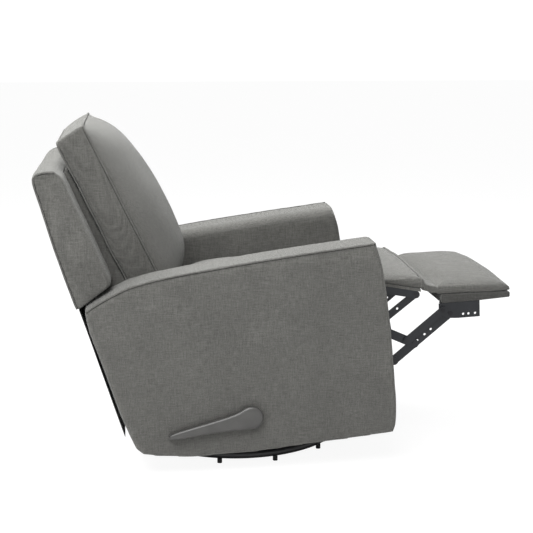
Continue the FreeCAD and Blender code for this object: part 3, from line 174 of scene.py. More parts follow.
def link(material, source, target):
    material.node_tree.links.new(source, target)


def object_noise(material, stretch, detail=2.0, roughness=0.5):
    """Noise in the object's own metres. Stretch is how many features fit in a metre along X, Y and Z."""
    place = add_node(material, "TexCoord")
    mapping = add_node(material, "Mapping")
    mapping.inputs["Scale"].default_value = stretch
    grain = add_node(material, "TexNoise")
    grain.inputs["Scale"].default_value = 1
    grain.inputs["Detail"].default_value = detail
    grain.inputs["Roughness"].default_value = roughness
    link(material, place.outputs["Object"], mapping.inputs["Vector"])
    link(material, mapping.outputs["Vector"], grain.inputs["Vector"])
    return grain.outputs["Fac"]


def ramp(material, source, stops):
    """Colours along a 0 to 1 value. A stop is (position, colour)."""
    node = add_node(material, "ValToRGB")
    while len(node.color_ramp.elements) < len(stops):
        node.color_ramp.elements.new(0.5)
    for element, (position, colour) in zip(node.color_ramp.elements, stops):
        element.position = position
        element.color = (*colour, 1)
    link(material, source, node.inputs["Fac"])
    return node.outputs["Color"]


def tint(material, source, stops, socket="Base Color"):
    """Drives one of the shader's sockets by colours along a 0 to 1 value."""
    link(material, ramp(material, source, stops), shader_of(material).inputs[socket])


def grey(value):
    return (value, value, value)


def bump(material, height, distance, strength=1.0):
    node = add_node(material, "Bump")
    node.inputs["Strength"].default_value = strength
    node.inputs["Distance"].default_value = distance
    link(material, height, node.inputs["Height"])
    link(material, node.outputs["Normal"], shader_of(material).inputs["Normal"])


def powder_coat(name, dark, light, roughness):
    """Black paint with fine orange peel, faint dust and slightly uneven gloss."""
    material = new_material(name, dark, roughness)
    cloudy = object_noise(material, (14, 14, 14), 4)
    tint(material, cloudy, [(0.3, dark), (0.75, light)])
    tint(material, cloudy, [(0.25, grey(roughness - 0.07)), (0.8, grey(roughness + 0.1))], "Roughness")
    bump(material, object_noise(material, (700, 700, 700), 1), 0.0002, 0.5)
    return material


def paint_nodes(material, *names):
    """Puts a material on carried-over parts."""
    for name in names:
        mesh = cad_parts[name].data
        mesh.materials.clear()
        mesh.materials.append(material)


base_paint = powder_coat("black_powder_coat", (0.010, 0.010, 0.011), (0.022, 0.022, 0.024), 0.42)
paint_nodes(
    base_paint, "base_ring", "cross_arms", "swivel_lower_plate", "swivel_upper_plate", "glider_base_tubes",
    "right_glider_plate", "left_glider_plate", "front_hangers", "rear_hangers", "right_platform_plate",
    "left_platform_plate", "platform_tubes",
)
link_paint = powder_coat("blue_black_strip", (0.008, 0.009, 0.011), (0.018, 0.020, 0.024), 0.42)
shader_of(link_paint).inputs["Metallic"].default_value = 0.2
paint_nodes(
    link_paint, "right_seat_side_plate", "left_seat_side_plate", "right_lower_link", "left_lower_link",
    "torque_tube", "right_upper_link", "left_upper_link", "right_long_bar", "left_long_bar", "thin_bars",
    "mid_bars", "mid_brackets", "footrest_brackets", "handle_crank", "back_brackets",
)

# Pins, rivets, balls and the handle shaft
# Plain turned and headed steel parts. The pins, the balls and the shaft have a dark zinc finish, and the
# rivets of the footrest linkage are blackened.
zinc = new_material("dark_zinc", (0.20, 0.20, 0.205), 0.38, 0.9)
plated = object_noise(zinc, (160, 160, 160), 3)
tint(zinc, plated, [(0.3, (0.11, 0.11, 0.115)), (0.7, (0.24, 0.24, 0.25))])
tint(zinc, plated, [(0.3, grey(0.5)), (0.7, grey(0.32))], "Roughness")
bump(zinc, object_noise(zinc, (1500, 1500, 1500), 1), 0.0001, 0.4)
paint_nodes(
    zinc, "swivel_bolt", "swivel_balls", "upper_hanger_pins", "lower_hanger_pins", "tilt_pins",
    "recline_pins", "handle_shaft",
)
blackened = powder_coat("blackened_rivets", (0.012, 0.012, 0.014), (0.030, 0.030, 0.033), 0.36)
shader_of(blackened).inputs["Metallic"].default_value = 0.5
paint_nodes(
    blackened, "side_plate_rivets", "lower_link_rivets", "upper_link_rivets", "long_bar_rivets",
    "mid_rest_rivets", "footrest_rivets",
)

# Floor glides
# Small round black nylon feet, pressed into the ring and scuffed grey where they slide on the floor.
nylon = new_material("black_nylon", (0.02, 0.02, 0.02), 0.55)
scuffs = object_noise(nylon, (90, 90, 400), 4)
tint(nylon, scuffs, [(0.45, grey(0.014)), (0.8, grey(0.05))])
bump(nylon, scuffs, 0.0003, 0.5)
paint_nodes(nylon, "floor_glides")

# Wooden frames and springs
# The arms and the rear rail are plain plywood. The seat frame and the back frame are stained black, because
# they can be seen between the cushions. Zigzag springs of oiled wire cross both of them.
plywood = new_material("plywood", (0.42, 0.30, 0.18), 0.62)
shader_of(plywood).inputs["Specular IOR Level"].default_value = 0.3
rings = object_noise(plywood, (3, 26, 40), 5, 0.6)
tint(plywood, rings, [(0.3, (0.30, 0.19, 0.10)), (0.5, (0.44, 0.31, 0.18)), (0.7, (0.54, 0.41, 0.26))])
bump(plywood, object_noise(plywood, (30, 260, 500), 3), 0.0004, 0.6)
paint_nodes(plywood, "right_arm_frame", "left_arm_frame", "rear_rail")
stained = new_material("black_stained_wood", (0.016, 0.015, 0.014), 0.7)
stain = object_noise(stained, (40, 40, 5), 4)
tint(stained, stain, [(0.3, (0.010, 0.010, 0.009)), (0.7, (0.026, 0.024, 0.022))])
paint_nodes(stained, "back_frame", "seat_frame")
wire = new_material("oiled_wire", (0.06, 0.06, 0.062), 0.4, 0.8)
oil = object_noise(wire, (60, 60, 60), 4)
tint(wire, oil, [(0.35, (0.04, 0.04, 0.042)), (0.75, (0.12, 0.11, 0.10))])
paint_nodes(wire, "seat_springs", "back_springs")


# Arms
# Each arm is a plywood box, padded with thin foam and covered in grey woven fabric. The outer panel meets
# the top in a corded seam, and a corded seam also runs round the front panel. The top rolls over to the
# inner side.
def combined(material, operation, first, second):
    """Two sockets, or a socket and a number, through one math node."""
    node = add_node(material, "Math", operation=operation)
    for number, source in enumerate((first, second)):
        if isinstance(source, float):
            node.inputs[number].default_value = source
        else:
            link(material, source, node.inputs[number])
    return node.outputs[0]


def summed(material, sources):
    total = sources[0]
    for source in sources[1:]:
        total = combined(material, "ADD", total, source)
    return total


def upholstery(name, dark, light, thread_pitch=0.0021):
    """Grey cloth of uneven two-tone yarn. Slubs run along both threads, over a fine cross-hatched relief."""
    material = new_material(name, dark, 0.9)
    shader = shader_of(material)
    shader.inputs["Specular IOR Level"].default_value = 0.25
    shader.inputs["Sheen Weight"].default_value = 0.35
    shader.inputs["Sheen Roughness"].default_value = 0.45
    shader.inputs["Sheen Tint"].default_value = (0.85, 0.86, 0.84, 1)
    stretches = ((38, 420, 420), (420, 38, 420), (420, 420, 38))
    streaks = [object_noise(material, stretch, 2.5, 0.6) for stretch in stretches]
    slubs = combined(material, "MULTIPLY", summed(material, streaks), 1 / 3)
    tone = ramp(material, slubs, [(0.40, dark), (0.60, light)])
    clouds = object_noise(material, (7, 7, 7), 3)
    shade = ramp(material, clouds, [(0.3, grey(0.90)), (0.7, grey(1.0))])
    mixed = add_node(material, "Mix", data_type="RGBA", blend_type="MULTIPLY")
    mixed.inputs["Factor"].default_value = 1
    link(material, tone, mixed.inputs[6])
    link(material, shade, mixed.inputs[7])
    link(material, mixed.outputs[2], shader.inputs["Base Color"])
    place = add_node(material, "TexCoord")
    bands = []
    for direction in ("X", "Y", "Z"):
        wave = add_node(material, "TexWave", bands_direction=direction)
        wave.inputs["Scale"].default_value = math.pi / (10 * thread_pitch)
        wave.inputs["Distortion"].default_value = 1.2
        wave.inputs["Detail"].default_value = 1
        wave.inputs["Detail Scale"].default_value = 0.6
        link(material, place.outputs["Object"], wave.inputs["Vector"])
        bands.append(wave.outputs["Fac"])
    across, along, upward = bands
    crossings = [
        combined(material, "MULTIPLY", first, second)
        for first, second in ((across, along), (along, upward), (across, upward))
    ]
    bump(material, summed(material, crossings + [slubs]), 0.0006, 0.8)
    return material


grey_weave = upholstery("grey_weave", (0.087, 0.086, 0.079), (0.160, 0.158, 0.148))
# The cords' cloth is the cover's cloth made a little lighter: a painted highlight along each seam.
cord_weave_painted_highlight = upholstery("cord_weave_painted_highlight", (0.100, 0.099, 0.092), (0.165, 0.162, 0.152), 0.0015)
# The board's cloth is the cover's cloth made darker: painted shade under the footrest pad.
board_weave_painted_shade = upholstery("board_weave_painted_shade", (0.048, 0.047, 0.044), (0.085, 0.084, 0.079))
# Near-black cloth for the strip beside each cord: painted shade in the seam's crease.
seam_shadow = new_material("painted_seam_shadow", (0.020, 0.020, 0.019), 0.9)
tint(seam_shadow, object_noise(seam_shadow, (300, 300, 300), 2),
     [(0.3, (0.012, 0.012, 0.011)), (0.7, (0.030, 0.029, 0.028))])


def as_piece(name, shape, material):
    """Makes a finished bmesh a smooth piece at the origin."""
    bmesh.ops.recalc_face_normals(shape, faces=shape.faces)
    mesh = bpy.data.meshes.new(name)
    shape.to_mesh(mesh)
    shape.free()
    mesh.materials.append(material)
    piece = bpy.data.objects.new(name, mesh)
    scene.collection.objects.link(piece)
    smooth(piece)
    return piece


def smooth(piece):
    piece.data.polygons.foreach_set("use_smooth", [True] * len(piece.data.polygons))
    piece.data.update()


def apply_modifiers(piece):
    """Bakes a piece's modifiers into its mesh."""
    bpy.context.view_layer.update()
    graph = bpy.context.evaluated_depsgraph_get()
    baked = bpy.data.meshes.new_from_object(piece.evaluated_get(graph))
    piece.modifiers.clear()
    old = piece.data
    piece.data = baked
    baked.name = old.name
    bpy.data.meshes.remove(old)
    smooth(piece)


ARM_VOXEL = 0.0065
CUSHION_VOXEL = 0.0085
PAD_VOXEL = 0.0050
GUSSET_VOXEL = 0.0045
ROLL_VOXEL = 0.0040
SEAM_STEP = 0.006


def even_mesh(piece, size, relax):
    """Remeshes a closed shape to even quads and softens its edges."""
    remesh = piece.modifiers.new("even", "REMESH")
    remesh.mode = "VOXEL"
    remesh.voxel_size = size
    soften = piece.modifiers.new("soften", "SMOOTH")
    soften.factor = 0.5
    soften.iterations = relax
    apply_modifiers(piece)


def corners_of(mesh):
    """The mesh's vertices as an array."""
    spots = np.empty(len(mesh.vertices) * 3)
    mesh.vertices.foreach_get("co", spots)
    return spots.reshape(-1, 3)


def normals_of(mesh):
    """The mesh's vertex normals as an array."""
    directions = np.empty(len(mesh.vertices) * 3)
    mesh.vertices.foreach_get("normal", directions)
    return directions.reshape(-1, 3)


def put_back(mesh, spots):
    mesh.vertices.foreach_set("co", spots.ravel())
    mesh.update()


def divide_path(path, closed=False):
    """Points at even steps along a path of straight runs."""
    runs = list(zip(path, path[1:] + path[:1] if closed else path[1:]))
    points = []
    for start, end in runs:
        start, end = Vector(start), Vector(end)
        count = max(1, round((end - start).length / SEAM_STEP))
        points += [start.lerp(end, number / count) for number in range(count)]
    if not closed:
        points.append(Vector(path[-1]))
    return points


def point_tree(points):
    tree = KDTree(len(points))
    for number, point in enumerate(points):
        tree.insert(point, number)
    tree.balance()
    return tree


def surface_tree(piece):
    mesh = piece.data
    return BVHTree.FromPolygons([v.co for v in mesh.vertices], [p.vertices for p in mesh.polygons])


def distance_to(spots, paths):
    """Each spot's distance to the nearest of the paths."""
    tree = point_tree([point for path in paths for point in path])
    return np.array([tree.find(spot)[2] for spot in spots])


def pinch(piece, paths, reach, depth):
    """Draws the cloth in towards each seam, so that the panels between them stand crowned."""
    spots = corners_of(piece.data)
    away = distance_to(spots, paths)
    spots -= normals_of(piece.data) * (depth * np.exp(-(away / reach) ** 2))[:, None]
    put_back(piece.data, spots)


def ripple(piece, size, height, seed):
    """Slow unevenness of padding under cloth."""
    spots = corners_of(piece.data)
    lift = [noise.noise(Vector(spot) / size + Vector((seed, seed, seed))) for spot in spots]
    put_back(piece.data, spots + normals_of(piece.data) * (height * np.array(lift))[:, None])


def on_surface(piece, path, lift, closed):
    """The path laid on the piece's surface and evened out."""
    tree = surface_tree(piece)
    laid = []
    for point in path:
        place, normal, _, _ = tree.find_nearest(point)
        laid.append(place + normal * lift)
    for _ in range(10):
        last = len(laid) - 1
        laid = [
            point if not closed and number in (0, last)
            else (laid[number - 1] + point * 2 + laid[(number + 1) % len(laid)]) / 4
            for number, point in enumerate(laid)
        ]
    return laid


def tube_along(name, path, radius, material, closed):
    """A round cord along a path, as a mesh with closed ends."""
    curve = bpy.data.curves.new(name, "CURVE")
    curve.dimensions = "3D"
    curve.bevel_depth = radius
    curve.bevel_resolution = 2
    curve.use_fill_caps = not closed
    line = curve.splines.new("POLY")
    line.points.add(len(path) - 1)
    for point, place in zip(line.points, path):
        point.co = (*place, 1)
    line.use_cyclic_u = closed
    holder = bpy.data.objects.new(name + "_line", curve)
    scene.collection.objects.link(holder)
    bpy.context.view_layer.update()
    graph = bpy.context.evaluated_depsgraph_get()
    mesh = bpy.data.meshes.new_from_object(holder.evaluated_get(graph))
    bpy.data.objects.remove(holder)
    shape = bmesh.new()
    shape.from_mesh(mesh)
    bpy.data.meshes.remove(mesh)
    bmesh.ops.remove_doubles(shape, verts=shape.verts, dist=0.00001)
    return as_piece(name, shape, material)


def corded_seam(host, name, path, body, closed=False, radius=0.0026, shadow=True):
    """A cord under its own strip of cloth, sewn in along a seam, with a dark strip of painted shade in the
    crease beside it.
    """
    laid = on_surface(host, path, radius * 0.5, closed)
    # The cord's lighter cloth is a painted highlight.
    cord = tube_along(name, laid, radius, cord_weave_painted_highlight, closed)
    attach(cord, body)
    if shadow:
        fold = on_surface(host, path, 0.0002, closed)
        dark = tube_along(name + "_fold", fold, radius, seam_shadow, closed)
        flatten_on(dark, fold, host)
        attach(dark, body)


def flatten_on(piece, path, host):
    """Presses a tube to a thin strip that lies just on the host's surface."""
    tree = surface_tree(host)
    line = point_tree(path)
    spots = corners_of(piece.data)
    for number, spot in enumerate(spots):
        middle = line.find(spot)[0]
        _, normal, _, _ = tree.find_nearest(middle)
        offset = Vector(spot) - middle
        height = offset.dot(normal)
        spots[number] = middle + (offset - normal * height) * 1.5 + normal * (height * 0.25)
    put_back(piece.data, spots)


ARM_OUTER = 0.4022
ARM_INNER = 0.2578
ARM_LIMIT = 0.4025
ARM_TOP = [(-0.449, 0.480), (-0.421, 0.499), (-0.380, 0.522), (-0.332, 0.545), (-0.264, 0.563),
           (-0.195, 0.576), (-0.127, 0.587), (-0.058, 0.598), (0.045, 0.613), (0.170, 0.630),
           (0.290, 0.645), (0.345, 0.652)]
ARM_FRONT = [(0.365, 0.590), (0.380, 0.500), (0.393, 0.405), (0.408, 0.259), (0.415, 0.171),
             (0.414, 0.126), (0.406, 0.104)]
ARM_BOTTOM = [(0.215, 0.085), (0.003, 0.063), (-0.164, 0.056), (-0.255, 0.062), (-0.300, 0.070)]
ARM_REAR = [(-0.319, 0.086), (-0.338, 0.130), (-0.360, 0.185), (-0.400, 0.310), (-0.437, 0.420)]


def only_vertices(parts):
    return [part for part in parts if isinstance(part, bmesh.types.BMVert)]


def round_edges(shape, edges, radius, segments):
    bmesh.ops.bevel(
        shape, geom=edges, offset=radius, segments=segments, profile=0.5, affect="EDGES", material=-1
    )


def arm_shape(side):
    """A closed arm: the side outline, pushed across to its thickness, with a rolled inner top edge."""
    shape = bmesh.new()
    outline = ARM_TOP + ARM_FRONT + ARM_BOTTOM + ARM_REAR
    corners = [shape.verts.new((x, side * ARM_OUTER, z)) for x, z in outline]
    panel = bmesh.ops.contextual_create(shape, geom=corners)["faces"]
    moved = bmesh.ops.extrude_face_region(shape, geom=panel)["geom"]
    across = Vector((0, side * (ARM_INNER - ARM_OUTER), 0))
    bmesh.ops.translate(shape, vec=across, verts=only_vertices(moved))
    top_places = {(round(x, 4), round(z, 4)) for x, z in ARM_TOP}

    def on_top(vertex):
        return (round(vertex.co.x, 4), round(vertex.co.z, 4)) in top_places

    inner = [edge for edge in shape.edges
             if all(abs(abs(v.co.y) - ARM_INNER) < 1e-5 and on_top(v) for v in edge.verts)]
    round_edges(shape, inner, radius=0.034, segments=6)
    return shape


for side, label in ((-1, "right"), (1, "left")):
    body = "seat_box"
    arm = as_piece(f"{label}_arm", arm_shape(side), grey_weave)
    even_mesh(arm, ARM_VOXEL, relax=4)
    top_seam = divide_path([(x, side * ARM_OUTER, z) for x, z in ARM_TOP])
    front = [ARM_TOP[-1]] + ARM_FRONT
    across_top = [(0.350, side * 0.36, 0.655), (0.350, side * 0.30, 0.655),
                  (0.352, side * 0.272, 0.646), (0.356, side * 0.2585, 0.622)]
    outer_front = [(x, side * ARM_OUTER, z) for x, z in reversed(front)]
    inner_front = [(x, side * ARM_INNER, z) for x, z in front[1:]]
    front_seam = divide_path(outer_front + across_top + inner_front)
    pinch(arm, [top_seam, front_seam], reach=0.022, depth=0.0012)
    ripple(arm, size=0.11, height=0.0012, seed=side * 3.1)
    spots = corners_of(arm.data)
    spots[:, 1] = np.clip(spots[:, 1], -ARM_LIMIT, ARM_LIMIT)
    put_back(arm.data, spots)
    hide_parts(f"{label}_arm_cover")
    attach(arm, body)
    corded_seam(arm, f"{label}_arm_top_cord", top_seam, body)
    corded_seam(arm, f"{label}_arm_front_cord", front_seam, body, radius=0.0016, shadow=False)


# Outer back
# A wide padded back that overhangs the arms, with a bolster down each side and a corded seam along the rear
# and top edges of each end panel. It is stapled to the wooden back frame in the recess between the
# bolsters.
def leaned(shape, angle, x, z):
    """Leans a shape that was drawn upright at the origin to the rear, and carries it to its place."""
    turn = Matrix.Rotation(-math.radians(angle), 3, "Y")
    bmesh.ops.rotate(shape, verts=shape.verts, cent=(0, 0, 0), matrix=turn)
    bmesh.ops.translate(shape, verts=shape.verts, vec=(x, 0, z))


def leaned_points(points, angle, x, z):
    """The same lean for a list of points."""
    turn = Matrix.Rotation(-math.radians(angle), 3, "Y")
    return [tuple(turn @ Vector(point) + Vector((x, 0, z))) for point in points]


def prism(outline, half):
    """An outline in X and Z, pushed across the whole width."""
    shape = bmesh.new()
    corners = [shape.verts.new((x, -half, z)) for x, z in outline]
    panel = bmesh.ops.contextual_create(shape, geom=corners)["faces"]
    moved = bmesh.ops.extrude_face_region(shape, geom=panel)["geom"]
    bmesh.ops.translate(shape, vec=(0, 2 * half, 0), verts=only_vertices(moved))
    return shape


def score(shape, place, facing):
    """Cuts new edges into a shape where a plane crosses it."""
    whole = shape.verts[:] + shape.edges[:] + shape.faces[:]
    bmesh.ops.bisect_plane(shape, geom=whole, plane_co=place, plane_no=facing)


BACK_PLACE = (16.5, -0.470, 0.481)
BACK_HALF = 0.360
BACK_OUTLINE = [(-0.004, -0.008), (-0.007, 0.180), (-0.005, 0.366), (-0.001, 0.377), (0.010, 0.381),
                (0.040, 0.379), (0.062, 0.371), (0.076, 0.352), (0.109, 0.052), (0.110, 0.038),
                (0.105, 0.030)]
CORDED_CORNERS = 7
FRONT_FROM = 0.07
RECESS_HALF = 0.2485
RECESS_TOP = 0.3455
RECESS_FLOOR = 0.0135

outer_back_shape = prism(BACK_OUTLINE, BACK_HALF)
front_edges = [
    edge for edge in outer_back_shape.edges
    if all(vertex.co.x > FRONT_FROM for vertex in edge.verts)
    and abs(edge.verts[0].co.y - edge.verts[1].co.y) < 1e-6
]
round_edges(outer_back_shape, front_edges, radius=0.014, segments=4)
for sign in (-1, 1):
    score(outer_back_shape, (0, sign * RECESS_HALF, 0), (0, 1, 0))
score(outer_back_shape, (0, 0, RECESS_TOP), (0, 0, 1))


def in_recess(face):
    middle = face.calc_center_median()
    within = abs(middle.y) < RECESS_HALF and middle.z < RECESS_TOP
    return within and middle.x > FRONT_FROM and abs(face.normal.y) < 0.5


front_faces = [face for face in outer_back_shape.faces if in_recess(face)]
pushed = bmesh.ops.extrude_face_region(outer_back_shape, geom=front_faces)["geom"]
bmesh.ops.delete(outer_back_shape, geom=front_faces, context="FACES")
for vertex in only_vertices(pushed):
    vertex.co.x = RECESS_FLOOR
leaned(outer_back_shape, *BACK_PLACE)
outer_back = as_piece("outer_back", outer_back_shape, grey_weave)
even_mesh(outer_back, ARM_VOXEL, relax=3)
back_seams = []
for side in (-1, 1):
    line = [(x, side * BACK_HALF, z) for x, z in BACK_OUTLINE[:CORDED_CORNERS]]
    back_seams.append(divide_path(leaned_points(line, *BACK_PLACE)))
pinch(outer_back, back_seams, reach=0.024, depth=0.0012)
ripple(outer_back, size=0.12, height=0.0016, seed=8.2)
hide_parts("outer_back_cover")
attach(outer_back, "backrest")
for label, seam in zip(("right", "left"), back_seams):
    corded_seam(outer_back, f"{label}_back_cord", seam, "backrest")

# Back filler
# A plain padded block, narrower than the outer back, that fills the recess and carries the back cushion.
# Only its sides and its top edge show, in the shadow beside the cushion.
FILLER_HALF = 0.2425
FILLER_OUTLINE = [(0.043, -0.058), (0.144, -0.058), (0.150, -0.040), (0.089, 0.350), (0.083, 0.362),
                  (0.077, 0.361), (0.0755, 0.346), (0.0752, 0.343), (0.043, 0.343)]
filler_shape = prism(FILLER_OUTLINE, FILLER_HALF)
leaned(filler_shape, *BACK_PLACE)
filler = as_piece("back_filler_pad", filler_shape, grey_weave)
even_mesh(filler, ARM_VOXEL, relax=3)
ripple(filler, size=0.09, height=0.0014, seed=2.4)
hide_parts("back_filler")
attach(filler, "backrest")


# Back cushion
# A boxed cushion filled with fibre, deep and round in front and nearly flat behind. A corded seam runs
# round its front panel and another round its rear panel. The filling is blown up by a cloth simulation
# between the seams.
SWELLING_FRAMES = 20
STITCHED = 0.006
LOOSENING = 0.012


def balloon(piece, held, pressure, cap):
    """Swells a piece by cloth simulation. Held is each vertex's hold, and cap is how far one may move."""
    rest = corners_of(piece.data)
    group = piece.vertex_groups.new(name="held")
    for number, hold in enumerate(held):
        if hold > 0.001:
            group.add([number], float(hold), "REPLACE")
    cloth = piece.modifiers.new("cloth", "CLOTH")
    cloth.settings.use_pressure = True
    cloth.settings.uniform_pressure_force = pressure
    cloth.settings.vertex_group_mass = "held"
    cloth.settings.effector_weights.gravity = 0
    cloth.settings.tension_stiffness = 15
    cloth.settings.compression_stiffness = 10
    cloth.settings.bending_stiffness = 1.5
    cloth.point_cache.frame_end = SWELLING_FRAMES
    for number in range(1, SWELLING_FRAMES + 1):
        scene.frame_set(number)
    apply_modifiers(piece)
    scene.frame_set(1)
    piece.vertex_groups.clear()
    moved = corners_of(piece.data) - rest
    far = np.linalg.norm(moved, axis=1)
    moved *= np.minimum(1, cap / np.maximum(far, 1e-9))[:, None]
    put_back(piece.data, rest + moved)


def finer(piece, rounds=1):
    """Rounds of subdivision, applied."""
    divide = piece.modifiers.new("finer", "SUBSURF")
    divide.levels = rounds
    divide.render_levels = rounds
    apply_modifiers(piece)


def hold_near(piece, seams):
    """Each vertex's hold: whole at a seam's stitches, none beyond them."""
    away = distance_to(corners_of(piece.data), seams)
    return np.clip(1 - (away - STITCHED) / LOOSENING, 0, 1)


CUSHION_PLACE = (25, -0.344, 0.561)
CROWN = [(-0.118, 0.150), (-0.078, 0.176), (-0.037, 0.189), (0.007, 0.195), (0.064, 0.199),
         (0.141, 0.197), (0.225, 0.189), (0.291, 0.177), (0.332, 0.164), (0.367, 0.145),
         (0.392, 0.122), (0.408, 0.098)]
CUSHION_LOW = -0.118
CUSHION_TOP = 0.414
CUSHION_TALL = CUSHION_TOP - CUSHION_LOW
REAR_DROP = 0.013
REAR_DEPTH = -0.007
BOXING = 0.084
SEAM_ROWS = 12
SWELLING_ROOM = 0.006
NEARLY = 1e-4


def cushion_half(z):
    """Half the cushion's width at a height: narrower below the arms' top, with slightly drawn-in sides."""
    share = (z - CUSHION_LOW) / CUSHION_TALL
    return 0.248 + 0.019 * min(1, share / 0.5) - 0.005 * math.sin(math.pi * max(0, min(1, share)))


def crown_at(y, z):
    """How far the front panel stands at a place across the cushion."""
    heights, reaches = zip(*CROWN)
    reach = float(np.interp(z, heights, reaches))
    across = min(1, abs(y) / cushion_half(z))
    return BOXING + (reach - BOXING) * (1 - across ** 2) ** 0.68


def lowered_rear(z):
    """The rear panel is a little shorter than the front one, so the boxing's top slopes to the rear."""
    return CUSHION_LOW + (z - CUSHION_LOW) * (1 - REAR_DROP / CUSHION_TALL)


cushion_shape = bmesh.new()
bmesh.ops.create_grid(cushion_shape, x_segments=18, y_segments=18, size=1)
for vertex in cushion_shape.verts:
    z = CUSHION_LOW + CUSHION_TALL * (vertex.co.y + 1) / 2
    vertex.co = (REAR_DEPTH, vertex.co.x * cushion_half(z), z)
pulled = bmesh.ops.extrude_face_region(cushion_shape, geom=cushion_shape.faces[:])["geom"]
for vertex in only_vertices(pulled):
    on_edge = (
        abs(vertex.co.z - CUSHION_LOW) < NEARLY or abs(vertex.co.z - CUSHION_TOP) < NEARLY
        or abs(abs(vertex.co.y) - cushion_half(vertex.co.z)) < NEARLY
    )
    vertex.co.x = BOXING if on_edge else crown_at(vertex.co.y, vertex.co.z) - SWELLING_ROOM
for vertex in cushion_shape.verts:
    if vertex.co.x < 0.01:
        vertex.co.z = lowered_rear(vertex.co.z)
leaned(cushion_shape, *CUSHION_PLACE)
back_cushion = as_piece("back_cushion_cover", cushion_shape, grey_weave)
even_mesh(back_cushion, CUSHION_VOXEL, relax=2)


def cushion_loop(depth, place):
    """The seam round one panel of the back cushion."""
    rows = [CUSHION_LOW + CUSHION_TALL * number / SEAM_ROWS for number in range(SEAM_ROWS + 1)]
    up = [(depth, -cushion_half(z), place(z)) for z in rows]
    down = [(depth, cushion_half(z), place(z)) for z in reversed(rows)]
    return divide_path(leaned_points(up + down, *CUSHION_PLACE), closed=True)


cushion_seams = [cushion_loop(BOXING, lambda z: z), cushion_loop(REAR_DEPTH, lowered_rear)]
balloon(back_cushion, hold_near(back_cushion, cushion_seams), pressure=4.0, cap=0.016)
finer(back_cushion)
pinch(back_cushion, cushion_seams, reach=0.014, depth=0.0015)
ripple(back_cushion, size=0.10, height=0.0025, seed=5.5)
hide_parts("back_cushion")
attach(back_cushion, "backrest")
for label, seam in zip(("front", "rear"), cushion_seams):
    corded_seam(back_cushion, f"cushion_{label}_cord", seam, "backrest", closed=True)


# Seat cushion
# A foam cushion between the arms, wrapped in fibre and crowned towards its middle. Its front edge rolls
# down to meet the pad over the linkage, and a corded seam runs along that edge. A small roll of cloth
# closes the gap in front of it.
TIP = 2.93
TIP_SLOPE = 0.051
TILT_PINS = (-0.150, 0, 0.160)


def tipped(shape):
    """Tips a level shape about the tilt pins, as the open footrest tips the seat."""
    turn = Matrix.Rotation(math.radians(-TIP), 3, "Y")
    bmesh.ops.rotate(shape, verts=shape.verts, cent=TILT_PINS, matrix=turn)


def tipped_points(points):
    """The same tip for a list of points."""
    turn = Matrix.Rotation(math.radians(-TIP), 3, "Y")
    centre = Vector(TILT_PINS)
    return [tuple(turn @ (Vector(point) - centre) + centre) for point in points]


def tipped_height(level, x):
    """How high a level line stands at a place along the tipped seat."""
    return level + TIP_SLOPE * (x - TILT_PINS[0])


def crowned_slab(rear, front, half, low, edge_top, rise, lift_along, dome):
    """A pad with a flat bottom and a crowned top. Low, edge_top and lift_along give the bottom, the top of
    the sides and the share of the rise at a share of the length. A larger dome is flatter across."""
    shape = bmesh.new()
    bmesh.ops.create_grid(shape, x_segments=16, y_segments=14, size=1)
    for vertex in shape.verts:
        share = (vertex.co.x + 1) / 2
        vertex.co = (rear + (front - rear) * share, vertex.co.y * half, low(share))
    pulled_up = bmesh.ops.extrude_face_region(shape, geom=shape.faces[:])["geom"]
    for vertex in only_vertices(pulled_up):
        share = (vertex.co.x - rear) / (front - rear)
        across = min(1, abs(vertex.co.y) / half)
        vertex.co.z = edge_top(share) + rise * lift_along(share) * (1 - across ** dome) ** 0.8
    tipped(shape)
    return shape


SEAT_REAR, SEAT_FRONT, SEAT_HALF = -0.130, 0.350, 0.249
SEAT_BOTTOM = 0.4495
SEAT_SEAM = 0.470


def seat_edge(share):
    """The height of the cushion's shoulder along its sides, a little lower at both ends."""
    return 0.484 - 0.012 * abs(2 * share - 1) ** 6


def seat_lift(share):
    off_middle = abs(2 * share - 1)
    return (1 - off_middle ** 4) ** 0.7 if off_middle < 1 else 0


seat_shape = crowned_slab(
    SEAT_REAR, SEAT_FRONT, SEAT_HALF, low=lambda share: SEAT_BOTTOM, edge_top=seat_edge, rise=0.024,
    lift_along=seat_lift, dome=3,
)
seat = as_piece("seat_cushion_cover", seat_shape, grey_weave)
even_mesh(seat, CUSHION_VOXEL, relax=3)
seat_loop = [
    (SEAT_REAR, -SEAT_HALF, SEAT_SEAM), (SEAT_FRONT, -SEAT_HALF, SEAT_SEAM),
    (SEAT_FRONT, SEAT_HALF, SEAT_SEAM), (SEAT_REAR, SEAT_HALF, SEAT_SEAM),
]
seat_seam = divide_path(tipped_points(seat_loop), closed=True)
spots = corners_of(seat.data)
resting = (spots[:, 2] < tipped_height(0.462, spots[:, 0])).astype(float)
balloon(seat, np.maximum(hold_near(seat, [seat_seam]), resting), pressure=4.0, cap=0.012)
finer(seat)
pinch(seat, [seat_seam], reach=0.012, depth=0.0015)
ripple(seat, size=0.11, height=0.002, seed=1.5)
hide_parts("seat_cushion")
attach(seat, "seat_box")
corded_seam(seat, "seat_cord", seat_seam, "seat_box", closed=True)
ROLL_HALF = 0.2475
ROLL_OUTLINE = [(0.345, 0.4685), (0.3712, 0.4700), (0.3712, 0.4830), (0.3640, 0.4890), (0.345, 0.4900)]
roll_shape = prism(ROLL_OUTLINE, ROLL_HALF)
tipped(roll_shape)
roll = as_piece("seat_front_roll", roll_shape, grey_weave)
even_mesh(roll, ROLL_VOXEL, relax=2)
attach(roll, "seat_box")

